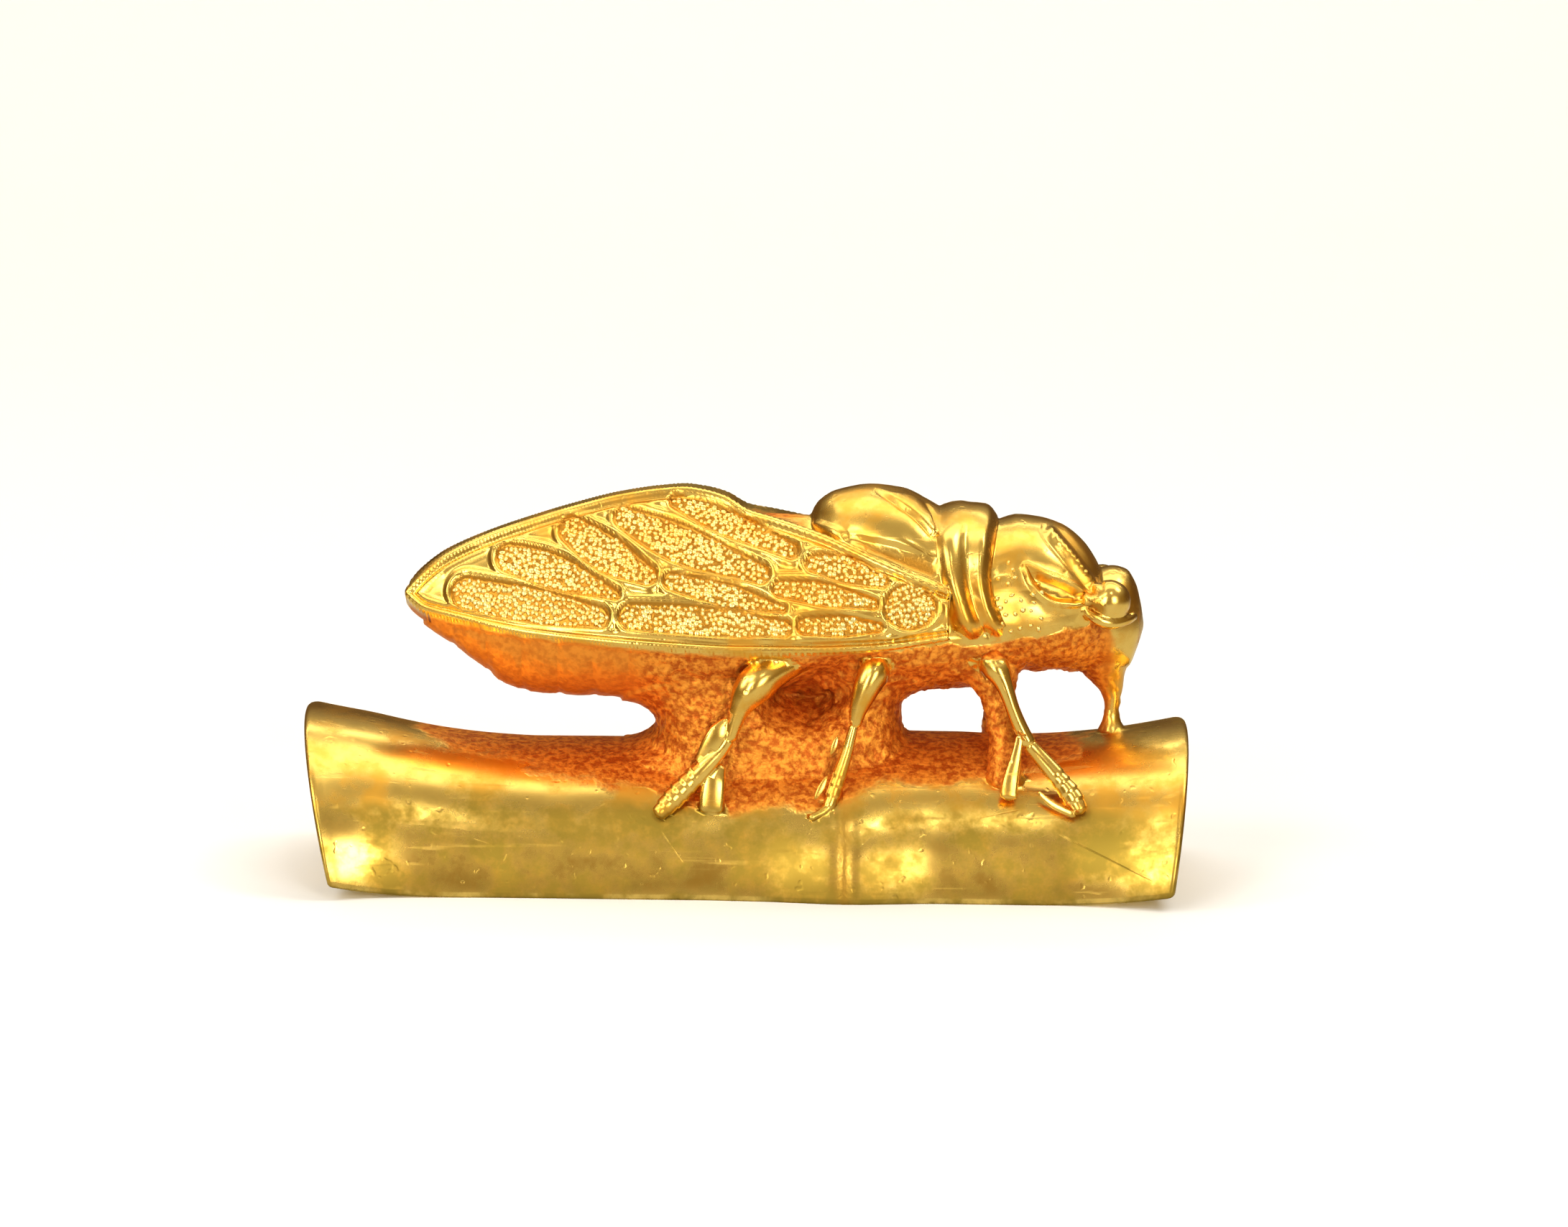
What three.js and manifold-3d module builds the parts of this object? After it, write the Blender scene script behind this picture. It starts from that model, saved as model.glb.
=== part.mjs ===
// A cast cicada clinging to a half-round length of bamboo: insect, legs, web and stem are one solid.
// Millimetres, +Z up, head towards +X, origin under the middle of the flat underside.

import * as THREE from "three";
import { mergeVertices } from "three/addons/utils/BufferGeometryUtils.js";
import Module from "manifold-3d";

const wasm = await Module();
wasm.setup();

// Bamboo stem: [along, value] profiles of its height and half width
const STEM_LENGTH = 50;
const STEM_HEIGHT = [
  [-25, 8.6], [-22, 8.55], [-19.5, 8.3], [-17, 8.0], [-14.5, 7.75], [-11.5, 7.62], [-2, 7.65],
  [2.5, 7.75], [5.6, 7.95], [9, 8.2], [12, 8.2], [15, 8.1], [20, 8.25], [25, 8.4],
];
const STEM_HALF_WIDTH = [
  [-25, 9.29], [-23.5, 8.86], [-21, 8.35], [-18, 8.0], [-13, 7.78], [-2, 7.76], [1, 7.86],
  [3.2, 8.14], [5.6, 8.4], [8.2, 8.12], [11, 7.84], [17.5, 7.85], [20.5, 8.2], [23.3, 8.75], [25, 9.2],
];
const STEM_MIDDLE = { height: 7.68, halfWidth: 7.8 };
const STEM_REAR_LEAN = 2.0;
const STEM_FRONT_LEAN = 1.1;
const STEM_LEAN_ONSET = 5;
const STEM_LEAN_POWER = 0.9;
const STEM_END_RISE = 0.85;
const STEM_RISE_LENGTH = 9;
const STEM_EDGE = 0.55;
const STEM_EDGE_LIFT = 0.5;
const STEM_ARCH_SHARE = 0.8;
const STEM_CAP_MIDDLE = 0.45;
const NODE_X = 5.6;
const NODE_GROOVE = 0.12;
const NODE_GROOVE_WIDTH = 0.22;
const NODE_GROOVE_REACH = 0.38;
const PLAIN_REAR_END = 2.6;
const PLAIN_FRONT_START = 8.6;

// Wings: each edge is [along, out from the middle plane, up]
const WING_ROOT_X = 11.2;
const WING_THICKNESS = 1.2;
const WING_BULGE = 0.55;
const WING_FULL_SLANT = 4;
const CELL_DEPTH = 0.26;
const CELL_CUT_REACH = 9;
const CELL_OUTLINE_STEPS = 3;
const PLATE_LAP = 0.2;
const RIM_RADIUS = 0.3;
const RIM_STEPS = 20;
const WING_STATIONS = [
  -19.3, -18.7, -17.6, -15.4, -12.2, -8.6, -5.4, -3.6, -1.8, 0, 2.5, 6.5, 11.2,
];
const WING_CREST = [
  [-19.3, 1.35, 16.2], [-18.8, 1.0, 16.85], [-18.0, 0.75, 17.6], [-17.1, 0.55, 18.25],
  [-14.7, 0.45, 19.37], [-12.2, 0.45, 20.27], [-9.8, 0.45, 21.03], [-7.3, 0.45, 21.69],
  [-4.9, 0.45, 22.08], [-3.6, 0.5, 22.18], [-2.5, 0.6, 22.05], [-1.3, 0.8, 21.72], [0, 1.1, 21.0],
  [1.5, 1.75, 20.65], [4.1, 2.9, 19.95], [7.35, 4.2, 18.7], [11.2, 5.1, 17.3],
];
const WING_MARGIN = [
  [-19.3, 1.5, 15.95], [-18.9, 1.85, 15.6], [-18.2, 2.35, 15.2], [-16.9, 2.9, 14.95],
  [-12.2, 4.5, 14.25], [-4.8, 5.8, 13.8], [-0.4, 6.0, 13.64], [3.5, 6.0, 13.68],
  [7.35, 5.8, 13.87], [11.2, 5.3, 14.4],
];

// Run of the rim round a wing's free edge: [along, share of the way down from the crest]
const WING_RIM = [
  [10, 0], [6, 0], [2, 0], [0, 0], [-1.8, 0], [-3.6, 0], [-7, 0], [-12, 0], [-16, 0], [-18, 0.05],
  [-18.9, 0.25], [-19.2, 0.55], [-18.8, 0.9], [-17.4, 1], [-12, 1], [-5, 1], [2, 1], [8, 1], [WING_ROOT_X, 1],
];

// Sunken cells of a wing, seen from the side: three stations of [along, up, half width]
const WING_CELLS = [
  [[-15.7, 16.35, 0.95], [-12.15, 15.9, 1.05], [-8.3, 15.4, 0.68]],
  [[-13.4, 18.3, 0.8], [-11.0, 17.75, 1.0], [-7.4, 16.65, 0.36]],
  [[-9.9, 19.85, 0.8], [-8.0, 18.8, 1.05], [-5.6, 17.7, 0.6]],
  [[-7.0, 20.6, 0.62], [-3.7, 19.3, 1.08], [0.7, 17.85, 0.6]],
  [[-4.1, 21.5, 0.42], [-1.25, 20.45, 0.74], [2.4, 19.1, 0.5]],
  [[-4.2, 17.4, 0.55], [-1.25, 16.75, 0.72], [1.95, 16.05, 0.28]],
  [[-6.4, 15.5, 0.78], [-2.5, 15.35, 0.88], [2.0, 15.05, 0.55]],
  [[3.25, 15.2, 0.55], [5.05, 15.25, 0.63], [7.3, 15.2, 0.32]],
  [[1.85, 17.1, 0.52], [4.25, 16.9, 0.7], [7.0, 16.45, 0.36]],
  [[3.65, 18.5, 0.5], [5.5, 18.2, 0.78], [7.5, 17.65, 0.42]],
  [[8.75, 16.3, 1.2], [9.05, 16.3, 1.3], [9.35, 16.3, 1.2]],
];

// Trunk under the wings. A body has [along, value] profiles; waist is the height where it is widest,
// and roof is the share by which it narrows towards its crest.
const TRUNK = {
  crest: [[-18.3, 15.4], [-16, 17.2], [-10, 19.8], [-4, 21.0], [0, 20.75], [4, 20.6], [15.5, 19.3]],
  belly: [
    [-18.3, 14.1], [-16.3, 12.73], [-14.7, 11.53], [-13.9, 10.93], [-12.2, 10.35], [-9.8, 10.2],
    [-7.3, 10.15], [-5, 9.9], [5, 10.45], [9, 10.95], [13, 10.95], [15.5, 11.85],
  ],
  halfWidth: [
    [-18.3, 1.3], [-16, 2.6], [-12, 4.0], [-8, 4.9], [-3, 5.4], [4, 5.6], [9, 5.3], [11.5, 4.9],
    [15.5, 4.3],
  ],
  waist: [[-18.3, 14.7], [-16, 14.5], [15.5, 14.5]],
  roof: 0.55,
};
const TRUNK_TAIL_X = -18.3;
const TRUNK_THORAX = { rearX: -2.6, frontX: 15.5 };
const ABDOMEN_RINGS = { first: -16.6, pitch: 2.0, count: 7, depth: 0.1 };

// Domed back of the thorax, between the wing roots and the collar
const DOME = {
  crest: [
    [3.1, 19.6], [3.35, 20.9], [3.85, 21.6], [4.8, 22.1], [6.9, 22.44], [8.6, 22.26], [9.9, 21.7],
    [11.6, 20.7],
  ],
  belly: [[3.1, 14], [11.6, 14]],
  halfWidth: [[3.1, 1.3], [3.6, 2.5], [4.8, 3.8], [7.3, 4.75], [9.5, 5.15], [11.6, 5.0]],
  waist: [[3.1, 16], [11.6, 16]],
};
const DOME_STATIONS = [3.1, 3.4, 4, 5, 6.6, 8.4, 10, 11.6];
const DOME_STRIPE = [[7.6, 0.95, 22.3, 0.15], [9.0, 1.8, 21.7, 0.3], [10.3, 3.05, 20.4, 0.18]];

// Collar: a band round the thorax, drawn at -1 to 1 across its width, with a broad ridge, a narrow one
// and a furrow between. Its middle and half breadth along the figurine follow the height.
const COLLAR = {
  crest: [[-1, 20.85], [-0.6, 21.25], [0, 21.5], [0.6, 21.3], [1, 20.75]],
  belly: [[-1, 13.8], [1, 13.9]],
  halfWidth: [[-1, 5.0], [-0.4, 5.3], [1, 5.05]],
  waist: [[-1, 15.6], [1, 15.6]],
};
const COLLAR_STATIONS = [-1, -0.78, -0.48, -0.18, 0.12, 0.36, 0.62, 0.84, 1];
const COLLAR_MIDDLE = [[13.8, 13.4], [14.6, 13.15], [16.5, 12.4], [18.3, 12.0], [19.8, 11.95], [21.2, 12.25]];
const COLLAR_REACH = [[13.8, 1.5], [14.6, 1.45], [16.5, 1.3], [18.3, 1.5], [20, 1.85], [21.2, 1.95]];
const COLLAR_RIDGES = [
  { place: -0.48, width: 0.42, height: 0.42 },
  { place: 0.62, width: 0.26, height: 0.34 },
  { place: 0.12, width: 0.14, height: -0.16 },
];
const COLLAR_CROWN = { share: 0.75, start: 0.7, end: 0.97 };

// Head: a dome that narrows towards the eyes, a blunt face, and a leaf sunk into each cheek
const HEAD = {
  crest: [
    [13.6, 20.3], [14.2, 20.55], [15.2, 20.82], [16.4, 20.7], [17.7, 20.3], [18.8, 19.5], [19.6, 18.45],
    [20.2, 17.2],
  ],
  belly: [[13.6, 12.4], [15.7, 12.0], [17, 12.0], [18.8, 11.95], [20.2, 12.6]],
  halfWidth: [[13.6, 4.9], [16, 4.7], [17.5, 4.3], [19.2, 3.5], [20.2, 2.7]],
  waist: [[13.6, 15.2], [17, 15.4], [20.2, 15.6]],
};
const HEAD_STATIONS = [13.6, 14.4, 15.4, 16.6, 17.8, 18.8, 19.6, 20.2];
const FACE = {
  crest: [[19, 17.5], [19.8, 17.8], [20.65, 17.98], [21.4, 17.8], [21.95, 17.0], [22.28, 15.8], [22.42, 14.9]],
  belly: [[19, 12.7], [20.6, 12.2], [21.6, 12.2], [22.1, 13.3], [22.42, 14.4]],
  halfWidth: [[19, 2.9], [20.6, 2.6], [21.5, 2.0], [22.1, 1.3], [22.42, 0.5]],
  waist: [[19, 14.7], [22.42, 14.7]],
};
const FACE_STATIONS = [19, 19.8, 20.6, 21.4, 21.95, 22.28, 22.42];
const EYE = { centre: [20.26, 3.0, 16.4], radius: 1.2 };
const EYE_LEDGE = [
  [18.7, 3.75, 16.1, 0.25], [19.2, 3.85, 15.65, 0.3], [20.2, 3.8, 15.25, 0.34],
  [21.2, 3.2, 15.35, 0.3], [21.8, 2.2, 15.5, 0.25],
];
const CHEEK_LEAF = [[15.6, 4.3, 18.3, 0.1], [17.2, 4.45, 17.1, 0.62], [18.85, 3.7, 16.5, 0.1]];

// Beak strut from the face down to the stem: [along, out, up, half width]
const BEAK = [
  [20.3, 0, 14.4, 2.0], [20.3, 0, 12.6, 1.6], [20.45, 0, 11.8, 1.15], [20.66, 0, 11.1, 0.78],
  [20.78, 0, 10.4, 0.54], [20.78, 0, 9.6, 0.46], [20.78, 0, 8.9, 0.6], [20.85, 0, 7.8, 1.35],
];

// Web between the belly and the stem, with fillets where it runs into them and a hollow on each side
const WEB = { rearX: -5.08, frontX: 8.75, halfWidth: 4.5, squareness: 0.55 };
const WEB_LEVELS = [4.6, 5.6, 6.6, 7.4, 7.9, 8.4, 9, 9.5, 10, 10.6, 11.6, 13.4];
const WEB_FILLET = { reach: 2.0, height: 1.3 };
const WEB_SIDE_FILLET = { reach: 1.5, lowZ: 5.2, highZ: 7.4 };
const WEB_STEM_LAP = 0.02;
const WEB_HOLLOW = { centre: [3.55, 4.6, 10.9], radii: [2.1, 3.3, 1.75] };
const FRONT_WEB = [
  [13.7, 2.6, 12.6, 2.0], [14.05, 3.0, 11.3, 1.1], [14.25, 3.4, 9.8, 0.8], [14.45, 3.8, 8.2, 0.8],
  [14.5, 4.6, 5.6, 1.3],
];

// Legs: stops of [along, out, up, half width], from the body down to the foot
const REAR_THIGH = [
  [3.0, 4.2, 12.9, 0.6], [1.6, 4.9, 12.45, 0.95], [0.75, 5.3, 11.95, 1.12], [0.15, 5.5, 11.3, 1.0],
  [-0.35, 5.6, 10.4, 0.62], [-0.62, 5.65, 9.6, 0.46], [-0.9, 5.7, 8.6, 0.36],
];
const REAR_FOOT = [
  [-0.9, 5.7, 8.8, 0.36], [-1.35, 5.75, 8.1, 0.4], [-2.1, 5.85, 7.3, 0.56], [-3.04, 6.0, 6.34, 0.68],
  [-4.0, 6.25, 5.39, 0.68], [-4.9, 6.6, 4.5, 0.45],
];
const REAR_PLATE = [
  [-1.3, 5.55, 7.3, 0.25], [-1.65, 5.75, 6.6, 0.6], [-1.8, 6.0, 5.6, 0.7], [-1.85, 6.15, 4.5, 0.66],
];
const REAR_BLADE = [
  [-0.95, 5.6, 9.9, 0.15], [-1.5, 5.65, 9.1, 0.55], [-2.0, 5.7, 8.2, 0.55], [-2.6, 5.8, 7.3, 0.25],
];
const MIDDLE_THIGH = [
  [7.6, 4.4, 13.1, 0.6], [7.2, 5.0, 12.6, 0.88], [6.85, 5.3, 12.0, 0.82], [6.55, 5.4, 11.3, 0.7],
  [6.25, 5.45, 10.4, 0.5], [6.08, 5.5, 9.4, 0.3],
];
const MIDDLE_FOOT = [
  [6.05, 5.5, 9.6, 0.24], [5.85, 5.6, 8.8, 0.3], [5.65, 5.7, 8.0, 0.34], [5.3, 5.85, 6.9, 0.42],
  [4.97, 6.05, 5.9, 0.46], [4.6, 6.4, 5.0, 0.34], [3.6, 6.9, 4.5, 0.2],
];
const FRONT_THIGH = [
  [13.3, 4.2, 13.3, 0.8], [13.9, 4.8, 12.8, 0.8], [14.3, 5.1, 12.1, 0.56], [14.58, 5.3, 11.4, 0.44],
  [14.87, 5.4, 10.6, 0.4], [15.3, 5.45, 9.6, 0.42], [15.9, 5.55, 8.5, 0.42],
];
const FRONT_FOOT = [
  [15.75, 5.55, 8.7, 0.4], [16.35, 5.65, 8.05, 0.44], [17.35, 5.95, 6.95, 0.54],
  [18.25, 6.4, 5.85, 0.62], [18.75, 6.8, 5.0, 0.4],
];
const FRONT_STRUT = [
  [15.3, 5.55, 9.2, 0.2], [15.05, 5.75, 7.9, 0.3], [14.8, 5.95, 6.7, 0.44], [14.66, 6.3, 5.6, 0.5],
];
const FAR_FRONT_THIGH = [
  [13.3, 4.2, 13.3, 0.8], [13.8, 4.9, 11.9, 0.6], [14.1, 5.2, 10.9, 0.46], [14.35, 5.4, 9.9, 0.4],
  [14.7, 5.5, 8.8, 0.4], [15.1, 5.6, 7.9, 0.4],
];
const FAR_FRONT_FOOT = [
  [15.0, 5.55, 8.1, 0.4], [15.6, 5.75, 7.3, 0.46], [16.6, 6.1, 6.3, 0.54], [17.6, 6.6, 5.2, 0.6],
  [18.1, 6.9, 4.6, 0.38],
];
const LEG_DEPTH = 0.85;
const STRUT_DEPTH = 0.6;

// Faces round each rounded form, and rings along it
const SIDES = {
  stem: 20, trunk: 12, dome: 16, collar: 20, head: 16, face: 12, beak: 8, web: 14, frontWeb: 6, leaf: 6, leg: 4,
};
const STEM_REAR_RINGS = 8;
const STEM_FRONT_RINGS = 5;
const THORAX_RINGS = 5;
const EYE_FACES = { sides: 10, rings: 6 };
const HOLLOW_FACES = { sides: 12, rings: 8 };

const MERGE_DISTANCE = 1e-4;
const SEAM_TOLERANCE = 0.002;
const GOLD = new THREE.MeshStandardMaterial({ color: 0xd9a22b, roughness: 0.28, metalness: 1 });

/** Smooth curve through [place, value] pairs that never overshoots them. */
function profile(points) {
  const slope = (i) => (points[i + 1][1] - points[i][1]) / (points[i + 1][0] - points[i][0]);
  const tangent = (i) => {
    if (i === 0) return slope(0);
    if (i === points.length - 1) return slope(i - 1);
    const [before, after] = [slope(i - 1), slope(i)];
    return before * after <= 0 ? 0 : (2 * before * after) / (before + after);
  };
  return (place) => {
    let i = 0;
    while (i < points.length - 2 && place > points[i + 1][0]) i += 1;
    const span = points[i + 1][0] - points[i][0];
    const t = THREE.MathUtils.clamp((place - points[i][0]) / span, 0, 1);
    const rise = points[i + 1][1] - points[i][1];
    const bend = tangent(i) * span * t * (1 - t) ** 2 - tangent(i + 1) * span * t * t * (1 - t);
    return points[i][1] + rise * t * t * (3 - 2 * t) + bend;
  };
}

/** Bell-shaped swell of height 1 round a centre. */
function swell(place, centre, width) {
  return Math.exp(-(((place - centre) / width) ** 2));
}

/** Evenly spaced places from start to end. */
function spread(start, end, steps) {
  return Array.from({ length: steps + 1 }, (_, i) => start + ((end - start) * i) / steps);
}

/** Closed skin over rings. place(step, across, up) puts the point of a unit circle on ring number step. */
function skin(sides, steps, place) {
  const geometry = new THREE.CylinderGeometry(1, 1, 1, sides, steps);
  const position = geometry.attributes.position;
  for (let i = 0; i < position.count; i += 1) {
    const step = Math.round((position.getY(i) + 0.5) * steps);
    const point = place(step, position.getZ(i), position.getX(i));
    position.setXYZ(i, point.x, point.y, point.z);
  }
  return geometry;
}

/** Closed geometry as a solid, on the other side of the middle plane where mirrored. */
function solid(geometry, mirrored = false) {
  const bare = geometry.clone();
  bare.deleteAttribute("normal");
  bare.deleteAttribute("uv");
  const merged = mergeVertices(bare, MERGE_DISTANCE);
  const vertProperties = new Float32Array(merged.attributes.position.array);
  const triangles = [];
  for (let i = 0; i < merged.index.count; i += 3) {
    const [a, b, c] = [0, 1, 2].map((k) => merged.index.getX(i + k));
    if (a !== b && b !== c && c !== a) triangles.push(...(mirrored ? [b, a, c] : [a, b, c]));
  }
  if (mirrored) {
    for (let i = 1; i < vertProperties.length; i += 3) vertProperties[i] *= -1;
  }
  const triVerts = new Uint32Array(triangles);
  return new wasm.Manifold(new wasm.Mesh({ numProp: 3, vertProperties, triVerts }));
}

/** The same form on both sides of the middle plane. */
function pair(geometry) {
  return [solid(geometry), solid(geometry, true)];
}

/** All the given solids as one. */
function union(solids) {
  return solids.reduce((whole, next) => whole.add(next));
}

/** Ball with its own radius along each axis. */
function ball({ centre, radii, radius }, { sides, rings }) {
  const geometry = new THREE.SphereGeometry(1, sides, rings);
  geometry.scale(...(radii ?? [radius, radius, radius]));
  geometry.translate(...centre);
  return geometry;
}

/** Tapered limb with an angular section along stops of [along, out, up, half width]. */
function limb(stops, sides, steps, depth = 1) {
  const path = new THREE.CatmullRomCurve3(stops.map(([x, y, z]) => new THREE.Vector3(x, y, z)));
  const width = profile(stops.map(([, , , radius], i) => [i / (stops.length - 1), radius]));
  const outward = new THREE.Vector3(0, 1, 0);
  return skin(sides, steps, (step, across, up) => {
    const t = step / steps;
    const tangent = path.getTangent(t);
    const side = outward.clone().addScaledVector(tangent, -outward.dot(tangent)).normalize();
    const rise = tangent.clone().cross(side);
    const reach = width(t);
    return path.getPoint(t).addScaledVector(side, across * reach * depth).addScaledVector(rise, up * reach);
  });
}

/** Leaf outline round a bent centre line of three [along, up, half width] stations. */
function leaf(stations, points) {
  const centre = new THREE.QuadraticBezierCurve(
    new THREE.Vector2(stations[0][0], stations[0][1]),
    new THREE.Vector2(
      2 * stations[1][0] - (stations[0][0] + stations[2][0]) / 2,
      2 * stations[1][1] - (stations[0][1] + stations[2][1]) / 2,
    ),
    new THREE.Vector2(stations[2][0], stations[2][1]),
  );
  const width = profile(stations.map(([, , radius], i) => [i / 2, radius]));
  const rim = (t, turn) => {
    const along = centre.getTangent(t);
    const around = new THREE.Vector2(
      along.x * Math.cos(turn) - along.y * Math.sin(turn),
      along.x * Math.sin(turn) + along.y * Math.cos(turn),
    );
    return centre.getPoint(t).addScaledVector(around, width(t));
  };
  const sides = spread(0, 1, points);
  const cap = spread(0, 1, 3).slice(1, -1);
  return [
    ...sides.map((t) => rim(t, -Math.PI / 2)),
    ...cap.map((t) => rim(1, Math.PI * (t - 0.5))),
    ...sides.map((t) => rim(1 - t, Math.PI / 2)),
    ...cap.map((t) => rim(0, Math.PI * (t + 0.5))),
  ];
}

/** Prism over a side-view outline, from the middle plane outwards. */
function outwardPrism(outline, near, far) {
  const geometry = new THREE.ExtrudeGeometry(new THREE.Shape(outline), {
    depth: far - near, bevelEnabled: false,
  });
  geometry.rotateX(Math.PI / 2);
  geometry.translate(0, far, 0);
  return geometry;
}

/** Point [out, up] of a half-round section of size 1 at a point of a unit circle. */
function halfRound(across, up) {
  if (across === 0 && up === 0) return [0, STEM_CAP_MIDDLE];
  const turn = Math.atan2(across, -up) / Math.PI;
  const flatShare = 1 - STEM_ARCH_SHARE;
  if (Math.abs(turn) <= flatShare) return [turn / flatShare, 0];
  const fromTop = ((1 - Math.abs(turn)) / STEM_ARCH_SHARE) * (Math.PI / 2);
  return [Math.sign(turn) * Math.sin(fromTop), Math.cos(fromTop)];
}

/** Half-round stem whose ends flare, lean outward at the top and lift a little off the ground. */
function stem() {
  const half = STEM_LENGTH / 2;
  const node = [-2, -1, 0, 1, 2].map((step) => NODE_X + step * NODE_GROOVE_REACH);
  const rear = spread(-half + STEM_EDGE, PLAIN_REAR_END, STEM_REAR_RINGS);
  const front = spread(PLAIN_FRONT_START, half - STEM_EDGE, STEM_FRONT_RINGS);
  const stations = [-half, ...rear, ...node, ...front, half];
  const [height, halfWidth] = [STEM_HEIGHT, STEM_HALF_WIDTH].map(profile);
  return skin(SIDES.stem, stations.length - 1, (step, across, up) => {
    const x = stations[step];
    const [outShare, upShare] = halfRound(across, up);
    const edge = Math.abs(x) === half ? STEM_EDGE : 0;
    const grooves = [-1, 1].map((way) => swell(x, NODE_X + way * NODE_GROOVE_REACH, NODE_GROOVE_WIDTH));
    const inset = edge + NODE_GROOVE * (grooves[0] + grooves[1]);
    const past = Math.max(0, (Math.abs(x) - half + STEM_RISE_LENGTH) / STEM_RISE_LENGTH);
    const foot = STEM_END_RISE * past ** 2 + STEM_EDGE_LIFT * edge;
    const reach = (x < 0 ? STEM_REAR_LEAN : STEM_FRONT_LEAN) * (x / half) ** STEM_LEAN_ONSET;
    const lean = reach * (1 - upShare) ** STEM_LEAN_POWER;
    const y = outShare * (halfWidth(x) - inset);
    return new THREE.Vector3(x - lean, y, foot + upShare * (height(x) - inset));
  });
}

/** Point of a wing's outer face at a place along and a share of the way down, and the way out from it. */
function wingPoint(x, down) {
  const [crestY, crestZ, marginY, marginZ] = wingEdges.map((edge) => edge(x));
  const slant = new THREE.Vector2(marginY - crestY, marginZ - crestZ);
  const out = new THREE.Vector3(0, -slant.y, slant.x).normalize();
  const point = new THREE.Vector3(x, crestY + slant.x * down, crestZ + slant.y * down);
  const bulge = WING_BULGE * Math.min(1, slant.length() / WING_FULL_SLANT);
  return { point: point.addScaledVector(out, bulge * 4 * down * (1 - down)), out };
}

/** Wing plate between two faces, each given by its height over the wing's outer face. */
function wingPlate(outer, inner) {
  const along = WING_STATIONS.length - 1;
  const geometry = new THREE.BoxGeometry(1, 1, 1, along, 2, 1);
  const position = geometry.attributes.position;
  for (let i = 0; i < position.count; i += 1) {
    const x = WING_STATIONS[Math.round((0.5 - position.getX(i)) * along)];
    const { point, out } = wingPoint(x, 0.5 - position.getY(i));
    point.addScaledVector(out, position.getZ(i) > 0 ? outer : inner);
    position.setXYZ(i, point.x, point.y, point.z);
  }
  return geometry;
}

/** One wing: a floor plate, a raised plate cut through at every cell, and the rim. */
function wing(mirrored) {
  const outlines = WING_CELLS.map((stations) => leaf(stations, CELL_OUTLINE_STEPS));
  const cells = outlines.map((outline) => outwardPrism(outline, 0, CELL_CUT_REACH));
  const raised = cells.reduce(
    (plate, cell) => plate.subtract(solid(cell, mirrored)),
    solid(wingPlate(0, -CELL_DEPTH - PLATE_LAP), mirrored),
  );
  const floor = solid(wingPlate(-CELL_DEPTH, -WING_THICKNESS), mirrored);
  const rim = WING_RIM.map(([x, down]) => [...wingPoint(x, down).point.toArray(), RIM_RADIUS]);
  return union([raised, floor, solid(limb(rim, SIDES.leg, RIM_STEPS), mirrored)]);
}

/** Rounded body with its profiles. relief(x, up) is the height of what stands over the plain body. */
function bodySkin(body, sides, stations, relief = () => 0) {
  const [crest, belly, halfWidth, waist] = [body.crest, body.belly, body.halfWidth, body.waist].map(profile);
  const roof = body.roof ?? 0;
  return skin(sides, stations.length - 1, (step, across, up) => {
    const x = stations[step];
    const raised = relief(x, up);
    const upright = up > 0 ? crest(x) - waist(x) : waist(x) - belly(x);
    const out = halfWidth(x) * (1 - roof * Math.max(up, 0));
    return new THREE.Vector3(x, across * (out + raised), waist(x) + up * (upright + raised));
  });
}

/** Trunk: the abdomen with its rings, and the thorax under the wings. */
function trunk() {
  const { first, pitch, count, depth } = ABDOMEN_RINGS;
  const grooves = spread(first, first + pitch * (count - 1), count - 1);
  const abdomen = grooves.flatMap((x) => [x, x + pitch / 2]);
  const thorax = spread(TRUNK_THORAX.rearX, TRUNK_THORAX.frontX, THORAX_RINGS);
  const stations = [TRUNK_TAIL_X, ...abdomen, ...thorax];
  return bodySkin(TRUNK, SIDES.trunk, stations, (x) => (grooves.includes(x) ? -depth : 0));
}

/** Collar band, bowed and widened by its height, whose ridges die out over the crest. */
function collar() {
  const [middle, reach] = [COLLAR_MIDDLE, COLLAR_REACH].map(profile);
  const geometry = bodySkin(COLLAR, SIDES.collar, COLLAR_STATIONS, (x, up) => {
    const heights = COLLAR_RIDGES.map(({ place, width, height }) => height * swell(x, place, width));
    const crown = THREE.MathUtils.smoothstep(up, COLLAR_CROWN.start, COLLAR_CROWN.end);
    return (heights[0] + heights[1] + heights[2]) * (1 - COLLAR_CROWN.share * crown);
  });
  const position = geometry.attributes.position;
  for (let i = 0; i < position.count; i += 1) {
    const z = position.getZ(i);
    position.setX(i, middle(z) + position.getX(i) * reach(z));
  }
  return geometry;
}

/** Head: dome with a sunken leaf on each cheek, face, and eyes on their ledges. */
function head() {
  const leaves = pair(limb(CHEEK_LEAF, SIDES.leaf, CHEEK_LEAF.length + 1));
  return union([
    solid(bodySkin(HEAD, SIDES.head, HEAD_STATIONS)).subtract(leaves[0]).subtract(leaves[1]),
    solid(bodySkin(FACE, SIDES.face, FACE_STATIONS)),
    ...pair(ball(EYE, EYE_FACES)),
    ...pair(limb(EYE_LEDGE, SIDES.leg, EYE_LEDGE.length)),
    solid(limb(BEAK, SIDES.beak, BEAK.length)),
  ]);
}

/** Share of a fillet's reach at a distance from the form that it runs into. */
function fillet(gap) {
  const near = THREE.MathUtils.clamp(1 - gap / WEB_FILLET.height, 0, 1);
  return 1 - Math.sqrt(1 - near ** 2);
}

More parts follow.
